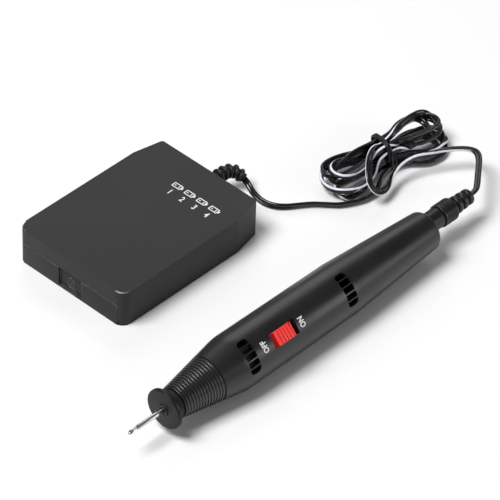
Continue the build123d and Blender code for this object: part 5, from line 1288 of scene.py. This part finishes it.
guard_plastic = moulded("guard_plastic", (0.011, 0.011, 0.012), 0.42, grain=2400, bump=0.1,
                        Specular_IOR_Level=0.22)
guard_mesh = smoothed(in_metres(turned(GUARD_CORNERS, PEN, steps=GUARD_STEPS)), 28)
guard = show("finger_guard_disc", guard_mesh, guard_plastic)
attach(guard, "finger_guard")
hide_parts("finger_guard")

# Engraving bit
# Ground from one steel rod: shank, thinner neck and a burr with six twisted cutting flutes.
BIT_REACH = 21
BIT_SIDES = 72
FLUTE_COUNT = 6
FLUTE_TWIST = 0.28
FLUTE_DEPTH = 0.3
FLUTE_FACE_SHARE = 0.85
STAIN_SCALE = 150
# Along the rod from its tip, as place, radius and share of the flutes' depth
BIT_LINE = [(-21.0, 0.0, 0.0), (-20.9, 0.3, 0.4), (-20.6, 0.62, 0.8), (-20.2, 0.85, 1.0), (-19.6, 0.98, 1.0),
            (-18.9, 1.0, 1.0), (-18.6, 0.98, 0.8), (-18.4, 0.93, 0.6), (-18.2, 0.9, 0.6), (-16.3, 0.9, 0.5),
            (-16.1, 0.92, 0.4), (-15.1, 1.13, 0), (-14.9, 1.175, 0), (18.3, 1.175, 0), (18.4, 1.1, 0),
            (18.4, 0.0, 0)]
# Where the burr and the neck end, and how many steps each run is divided into
BURR_END, BURR_STEPS = -18, 4
NECK_END, NECK_STEPS = -15, 6
machined_surface, entry, leave = new_group(
    "machined_surface",
    [("Colour", "NodeSocketColor", (0.6, 0.6, 0.6, 1)), ("Roughness", "NodeSocketFloat", 0.25),
     ("Lines", "NodeSocketFloat", 900.0), ("Tarnish", "NodeSocketFloat", 0.15)],
    [("Colour", "NodeSocketColor"), ("Roughness", "NodeSocketFloat"), ("Height", "NodeSocketFloat")])
turning = noise(machined_surface, entry.outputs["Lines"], 2, stretch=(0.08, 1, 0.08))
stain = between(machined_surface, noise(machined_surface, STAIN_SCALE, 4), 0.35, 0.75)
dulled = arithmetic(machined_surface, "MULTIPLY", stain, entry.outputs["Tarnish"])
bright = arithmetic(machined_surface, "SUBTRACT", 1.0, dulled)
tarnished = scaled_colour(machined_surface, entry.outputs["Colour"], bright)
machined_surface.links.new(tarnished, leave.inputs["Colour"])
blurred = arithmetic(machined_surface, "ADD", entry.outputs["Roughness"], dulled)
machined_surface.links.new(blurred, leave.inputs["Roughness"])
machined_surface.links.new(turning, leave.inputs["Height"])


def machined(name, colour, roughness, lines=900, tarnish=0.15, bump=0.15, **settings):
    """A turned or drawn metal: fine lines from the tool, dull stains."""
    values = {"Colour": (*colour, 1), "Roughness": roughness, "Lines": lines, "Tarnish": tarnish}
    settings = {label.replace("_", " "): value for label, value in settings.items()}
    return surface(name, machined_surface, values, bump, {"Metallic": 1.0, **settings})


def bit_rows():
    """The rod's rows of points, close together at the burr and the neck."""
    rows = []
    for (z0, r0, f0), (z1, r1, f1) in zip(BIT_LINE, BIT_LINE[1:]):
        count = BURR_STEPS if z1 < BURR_END else NECK_STEPS if z1 < NECK_END else 1
        for step in range(count):
            share = step / count
            rows.append((z0 + (z1 - z0) * share, r0 + (r1 - r0) * share, f0 + (f1 - f0) * share))
    return rows + [BIT_LINE[-1]]


def fluted_rod():
    """The rod with flutes that wind round it: each falls in steeply and rises slowly to the next."""
    bm = bmesh.new()
    rings = []
    for z, radius, flute in bit_rows():
        if radius < ON_AXIS:
            rings.append([bm.verts.new((0, 0, z))] * BIT_SIDES)
            continue
        row = []
        for side in range(BIT_SIDES):
            turn = 2 * math.pi * side / BIT_SIDES
            bite = (turn * FLUTE_COUNT / (2 * math.pi) + (z + BIT_REACH) * FLUTE_TWIST) % 1
            depth = 1 - bite if bite < FLUTE_FACE_SHARE else bite - FLUTE_FACE_SHARE
            ground = radius * (1 - FLUTE_DEPTH * flute * depth)
            row.append(bm.verts.new((ground * math.cos(turn), ground * math.sin(turn), z)))
        rings.append(row)
    for row, other in zip(rings, rings[1:]):
        for side in range(BIT_SIDES):
            nxt = (side + 1) % BIT_SIDES
            corners = [row[side], row[nxt], other[nxt], other[side]]
            bm.faces.new([corner for k, corner in enumerate(corners) if corner not in corners[:k]])
    return finished_mesh(bm, "engraving_burr")


bit_steel = machined("bit_steel", (0.74, 0.73, 0.71), 0.13, tarnish=0.06, bump=0.04)
bit = show("engraving_burr", smoothed(in_metres(fluted_rod(), PEN), 30), bit_steel)
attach(bit, "spindle")
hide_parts("engraving_bit")

# Switch knob
# A bright red moulding in the barrel's slot, with cross ribs for the thumb and a slope at the tip side.
KNOB_START = 57.0
KNOB_LENGTH = 12.6
KNOB_TOP = 14.6
KNOB_VALLEY = 13.7
KNOB_ROOT = 0.3
KNOB_FACE_TOP = 12.6
KNOB_REAR_TOP = 12.4
KNOB_SLOPE_RUN = 1.9
KNOB_CREST_RUN = 2.9
KNOB_RIBS_RUN = 3.3
KNOB_RIB_COUNT = 5
KNOB_RIB_PITCH = 1.75
# Where a valley's sides and floor begin and end, from the rib before it
KNOB_VALLEY_RUNS = (0, 0.25, 0.75, 1.0)
KNOB_EDGE = 0.12
KNOB_FLANGE_LOW = (9.2, -4.4, 55.9)
KNOB_FLANGE_HIGH = (KNOB_ROOM, 4.4, 72.9)
KNOB_STEM_LOW, KNOB_STEM_HIGH = (6.0, -1.1, 62.2), (9.5, 1.1, 64.4)
knob_plastic = moulded("knob_plastic", (0.95, 0.06, 0.055), 0.34, grain=1800, mottle=0.08, bump=0.08)
# A dark copy of the knob's red: painted shade for the slope at the tip side and the valleys between the ribs
knob_painted_shade = moulded("knob_painted_shade", (0.28, 0.008, 0.008), 0.5, grain=1800, mottle=0.2, bump=0.08,
                     Specular_IOR_Level=0.1)
knob_end = KNOB_START + KNOB_LENGTH
knob_foot = KNOB_ROOM - KNOB_ROOT
knob_side = [(KNOB_START, knob_foot, 0), (KNOB_START, KNOB_FACE_TOP, 0.3),
             (KNOB_START + KNOB_SLOPE_RUN, KNOB_VALLEY, 0.2), (KNOB_START + KNOB_CREST_RUN, KNOB_TOP, 0.4)]
for index in range(KNOB_RIB_COUNT):
    at = KNOB_START + KNOB_RIBS_RUN + index * KNOB_RIB_PITCH
    down, floor_start, floor_end, up = [at + run for run in KNOB_VALLEY_RUNS]
    knob_side += [(down, KNOB_TOP, 0.25), (floor_start, KNOB_VALLEY, 0.1), (floor_end, KNOB_VALLEY, 0.1),
                  (up, KNOB_TOP, 0.25)]
knob_side += [(knob_end - 0.9, KNOB_TOP, 0.3), (knob_end - 0.2, KNOB_REAR_TOP, 0.3), (knob_end, knob_foot, 0)]
across_pen = lambda z, height, y: (height, y, z)
knob = prism(rounded_outline(knob_side, 3), -KNOB_HALF, KNOB_HALF, top_round=KNOB_EDGE,
             bottom_round=KNOB_EDGE, lift=across_pen)
flange = oblong(KNOB_FLANGE_LOW, KNOB_FLANGE_HIGH)
stem = oblong(KNOB_STEM_LOW, KNOB_STEM_HIGH)
knob = coat(merged(knob, [flange, stem], "UNION"), knob_plastic, knob_painted_shade)
# The first facet of the slope and the floors of the valleys get the dark red of painted shade
for face in knob.polygons:
    middle = face.center
    on_slope = abs(face.normal.z) > 0.3 and middle.z < KNOB_START + KNOB_SLOPE_RUN
    in_valley = abs(face.normal.x) > 0.9 and abs(middle.x - KNOB_VALLEY) < 0.1
    if middle.x > KNOB_ROOM and (on_slope or in_valley):
        face.material_index = 1
knob_piece = show("slide_switch_knob", smoothed(in_metres(knob, PEN), 35))
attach(knob_piece, "switch_knob")
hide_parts("switch_knob")

# Power jack
# A moulded sleeve with a flange behind the barrel's end wall; pin and leaf spring sit in it.
JACK_FACE = 176.2
JACK_BACK = 158.6
JACK_BORE_END = 160.6
JACK_RADIUS = 4.92
JACK_BORE_RADIUS = 2.85
JACK_PIN_HOLE_RADIUS = 0.97
JACK_FLANGE_RADIUS = 5.9
JACK_FLANGE_FACE = 163.6
LEAF_SLOT_LOW, LEAF_SLOT_HIGH = 2.6, 3.2
LEAF_SLOT_HALF = 1.02
LEAF_SETBACK = 4.2
JACK_BASE = PEN @ Matrix.Translation((0, JACK_OFFSET, 0))
jack_plastic = moulded("jack_plastic", (0.009, 0.009, 0.01), 0.38, grain=2200, bump=0.08,
                       Specular_IOR_Level=0.35)
jack_corners = [(JACK_PIN_HOLE_RADIUS, JACK_BACK, 0), (JACK_RADIUS, JACK_BACK, 0.3),
                (JACK_RADIUS, JACK_FLANGE_FACE, 0), (JACK_FLANGE_RADIUS, JACK_FLANGE_FACE, 0.2),
                (JACK_FLANGE_RADIUS, END_WALL_FACE, 0.2), (JACK_RADIUS, END_WALL_FACE, 0),
                (JACK_RADIUS, JACK_FACE, 0.5), (JACK_BORE_RADIUS, JACK_FACE, 0.25),
                (JACK_BORE_RADIUS, JACK_BORE_END, 0), (JACK_PIN_HOLE_RADIUS, JACK_BORE_END, 0)]
jack_mesh = turned(jack_corners, Matrix.Translation((0, JACK_OFFSET, 0)))
leaf_slot = oblong((LEAF_SLOT_LOW, JACK_OFFSET - LEAF_SLOT_HALF, JACK_BACK - OVERRUN),
                   (LEAF_SLOT_HIGH, JACK_OFFSET + LEAF_SLOT_HALF, JACK_FACE - LEAF_SETBACK))
jack_mesh = merged(jack_mesh, [leaf_slot], "DIFFERENCE")
jack = show("power_jack_sleeve", smoothed(in_metres(jack_mesh, PEN), 30), jack_plastic)
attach(jack, "housing")
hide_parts("jack_housing")

# Plug
# Soft PVC moulded over the cord's end: a grip ring with fine grooves, a short neck and a beaded tail.
PLUG_BORE_RADIUS = 2.72
PLUG_ROOT = 3
PLUG_RING_RADIUS = 5.5
PLUG_RING_LENGTH = 8.8
PLUG_RING_SETBACK = 1.4
PLUG_GROOVE_COUNT = 7
PLUG_GROOVE_PITCH = 0.9
PLUG_GROOVE_RADIUS = 5.2
PLUG_GROOVE_RUNS = (0, 0.1, 0.3, 0.4)
PLUG_NECK_RADIUS = 3.2
PLUG_NECK_LENGTH = 0.8
PLUG_STEP = 0.1
TAIL_BEAD_COUNT = 3
TAIL_BEAD_RADIUS = 4.2
TAIL_BEAD_FALL = 0.2
TAIL_BEAD_SETBACK = 0.95
TAIL_BEAD_LENGTH = 2.85
TAIL_CORE_RADIUS = 3.0
TAIL_CORE_FALL = 0.1
TAIL_PITCH = 3.8
plug_ring_end = PLUG_FACE + PLUG_RING_LENGTH
plug_neck_end = plug_ring_end + PLUG_NECK_LENGTH
plug_corners = [(PLUG_BORE_RADIUS, PLUG_FACE, 0), (PLUG_RING_RADIUS, PLUG_FACE, 0.4)]
for index in range(PLUG_GROOVE_COUNT):
    at = PLUG_FACE + PLUG_RING_SETBACK + index * PLUG_GROOVE_PITCH
    down, floor_start, floor_end, up = [at + run for run in PLUG_GROOVE_RUNS]
    plug_corners += [(PLUG_RING_RADIUS, down, 0.06), (PLUG_GROOVE_RADIUS, floor_start, 0.04),
                     (PLUG_GROOVE_RADIUS, floor_end, 0.04), (PLUG_RING_RADIUS, up, 0.06)]
plug_corners += [(PLUG_RING_RADIUS, plug_ring_end, 1.2), (PLUG_NECK_RADIUS, plug_ring_end + PLUG_STEP, 0.1),
                 (PLUG_NECK_RADIUS, plug_neck_end, 0.1), (0, plug_neck_end, 0), (0, PLUG_FACE + PLUG_ROOT, 0),
                 (PLUG_BORE_RADIUS, PLUG_FACE + PLUG_ROOT, 0)]
tail_start = plug_neck_end - PLUG_STEP
tail_corners = [(0, tail_start, 0), (PLUG_NECK_RADIUS - PLUG_STEP, tail_start, 0)]
for index in range(TAIL_BEAD_COUNT):
    core = TAIL_CORE_RADIUS - TAIL_CORE_FALL * index
    bead = TAIL_BEAD_RADIUS - TAIL_BEAD_FALL * index
    first = plug_neck_end + index * TAIL_PITCH + TAIL_BEAD_SETBACK
    tail_corners += [(core, first, 0.2), (bead, first, 0.7), (bead, first + TAIL_BEAD_LENGTH, 1.1)]
    if index < TAIL_BEAD_COUNT - 1:
        tail_corners += [(core, first + TAIL_BEAD_LENGTH, 0.2)]
tail_corners += [(0, PLUG_END, 0)]
plug_rubber = moulded("plug_rubber", (0.01, 0.01, 0.011), 0.36, grain=1600, bump=0.1, Specular_IOR_Level=0.4)
plug_parts = []
for corners, segments in ((plug_corners, 4), (tail_corners, 5)):
    plug_parts.append(coat(smoothed(in_metres(turned(corners, JACK_BASE, segments)), 40), plug_rubber))
plug_mesh = joined("plug_grip_moulding", plug_parts)
plug = show("plug_grip_moulding", plug_mesh)
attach(plug, "housing")
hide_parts("plug_grip")

# Pieces inside, and screws
# Their shapes are those of the construction; each gets the surface of what it is made of, but for the motor's
# steel, which is darkened as painted shade.
# In metres: the pitch of the cells, and where the band ends on cells that lie either way round
CELL_PITCH = 0.015
CELL_FRONT_BAND = -0.056
CELL_REAR_BAND = -0.030
inner_plastic = moulded("inner_plastic", (0.72, 0.70, 0.65), 0.45, grain=2000)
nickel = machined("nickel_plate", (0.72, 0.72, 0.69), 0.28, lines=500)
spring_steel = machined("spring_steel", (0.66, 0.66, 0.64), 0.3, lines=1400)
shaft_steel = machined("shaft_steel", (0.6, 0.6, 0.6), 0.22)
# Near black steel for the motor's can and rotor: painted shade for the dark inside of the barrel behind the
# vents
motor_steel = machined("motor_steel", (0.04, 0.04, 0.04), 0.5, lines=240, tarnish=0.25)
magnet_ferrite = moulded("magnet_ferrite", (0.05, 0.05, 0.052), 0.6, grain=1500, mottle=0.25, bump=0.3)
bronze = machined("sintered_bronze", (0.52, 0.36, 0.17), 0.45, lines=1500, tarnish=0.3)
copper = machined("enamelled_copper", (0.62, 0.26, 0.11), 0.3, lines=2600, bump=0.6)
brass = machined("brass", (0.72, 0.54, 0.24), 0.28)
wire_red = moulded("wire_red", (0.5, 0.03, 0.025), 0.4, grain=1500)
wire_black = moulded("wire_black", (0.02, 0.02, 0.02), 0.4, grain=1500)
screw_black = machined("blackened_screw", (0.09, 0.09, 0.095), 0.38)


def cell_jacket():
    """Printed film over the can: plain dark body and a copper coloured band at the plus end."""
    material = moulded("cell_jacket", (0.05, 0.052, 0.058), 0.3, grain=1200, mottle=0.1, bump=0.04)
    tree = material.node_tree
    parts = tree.nodes.new("ShaderNodeSeparateXYZ")
    tree.links.new(tree.nodes.new("ShaderNodeTexCoord").outputs["Object"], parts.inputs["Vector"])
    column = arithmetic(tree, "FLOOR", arithmetic(tree, "DIVIDE", parts.outputs["X"], CELL_PITCH))
    turned_round = arithmetic(tree, "ABSOLUTE", arithmetic(tree, "MODULO", column, 2.0))
    front_first = arithmetic(tree, "LESS_THAN", parts.outputs["Y"], CELL_FRONT_BAND)
    rear_last = arithmetic(tree, "GREATER_THAN", parts.outputs["Y"], CELL_REAR_BAND)
    at_front = arithmetic(tree, "MULTIPLY", front_first, turned_round)
    at_rear = arithmetic(tree, "MULTIPLY", rear_last, arithmetic(tree, "SUBTRACT", 1.0, turned_round))
    painted_over(material, arithmetic(tree, "MAXIMUM", at_front, at_rear), (0.5, 0.24, 0.09))
    tree.nodes["Principled BSDF"].inputs["Metallic"].default_value = 0.6
    return material


finishes = [
    (case_plastic, ["case_base_panel"]),
    (screw_black, ["case_screws", "barrel_screws", "chuck_set_screws"]),
    (cell_jacket(), ["battery_cell_1", "battery_cell_2", "battery_cell_3", "battery_cell_4"]),
    (nickel, ["front_contact_plates", "rear_bridge_plate", "rear_plate_left", "rear_plate_right",
              "jack_pin", "jack_leaf", "plug_sleeve", "plug_contact"]),
    (spring_steel, ["front_contact_springs", "rear_contact_springs"]),
    (wire_black, ["case_wire_left", "motor_switch_wire", "switch_jack_wire", "motor_jack_wire"]),
    (wire_red, ["case_wire_right"]),
    (shaft_steel, ["chuck", "motor_shaft"]),
    (bronze, ["nose_bush", "motor_front_bush", "motor_rear_bush", "motor_brushes"]),
    (motor_steel, ["motor_can", "rotor_core"]),
    (magnet_ferrite, ["motor_magnets"]),
    (inner_plastic, ["motor_end_cap", "switch_frame", "plug_insulator"]),
    (brass, ["motor_terminals", "switch_wiper", "switch_terminals"]),
    (copper, ["rotor_windings", "commutator"]),
]
for finish, nodes in finishes:
    for node in nodes:
        coat(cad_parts[node].data, finish)

# Floor and light
# A pale floor that fills the view, one strong soft lamp high in front, two weak ones behind, grey air.
FLOOR_REACH = 6
floor_mesh = bpy.data.meshes.new("floor")
floor_corners = [(x * FLOOR_REACH, y * FLOOR_REACH, 0) for x, y in ((-1, -1), (1, -1), (1, 1), (-1, 1))]
floor_mesh.from_pydata(floor_corners, [], [(0, 1, 2, 3)])
floor_white = bpy.data.materials.new("floor_white")
floor_white.use_nodes = True
floor_skin = floor_white.node_tree.nodes["Principled BSDF"]
floor_skin.inputs["Base Color"].default_value = (0.93, 0.93, 0.93, 1)
floor_skin.inputs["Roughness"].default_value = 0.9
floor_skin.inputs["Specular IOR Level"].default_value = 0
floor = show("floor", floor_mesh, floor_white)


def area_lamp(name, place, target, width, power):
    """A square soft lamp that faces a target; the power is in watts."""
    lamp = bpy.data.lights.new(name, "AREA")
    lamp.shape = "SQUARE"
    lamp.size = width
    lamp.energy = power
    piece = bpy.data.objects.new(name, lamp)
    bpy.context.scene.collection.objects.link(piece)
    piece.location = place
    piece.rotation_euler = (Vector(target) - Vector(place)).to_track_quat("-Z", "Y").to_euler()


LIT_PLACE = (0.03, -0.02, 0)
area_lamp("key_lamp", (-0.35, -0.95, 2.0), LIT_PLACE, 1.0, 49)
area_lamp("back_left_lamp", (-1.25, 1.2, 1.35), LIT_PLACE, 1.2, 8)
area_lamp("back_right_lamp", (1.7, 1.05, 0.6), (0.08, -0.02, 0), 0.8, 7.5)
world = bpy.data.worlds.new("air")
bpy.context.scene.world = world
world.use_nodes = True
air = world.node_tree.nodes["Background"]
air.inputs["Color"].default_value = (0.5, 0.5, 0.5, 1)
air.inputs["Strength"].default_value = 0.32
bpy.context.scene.view_settings.view_transform = "Standard"
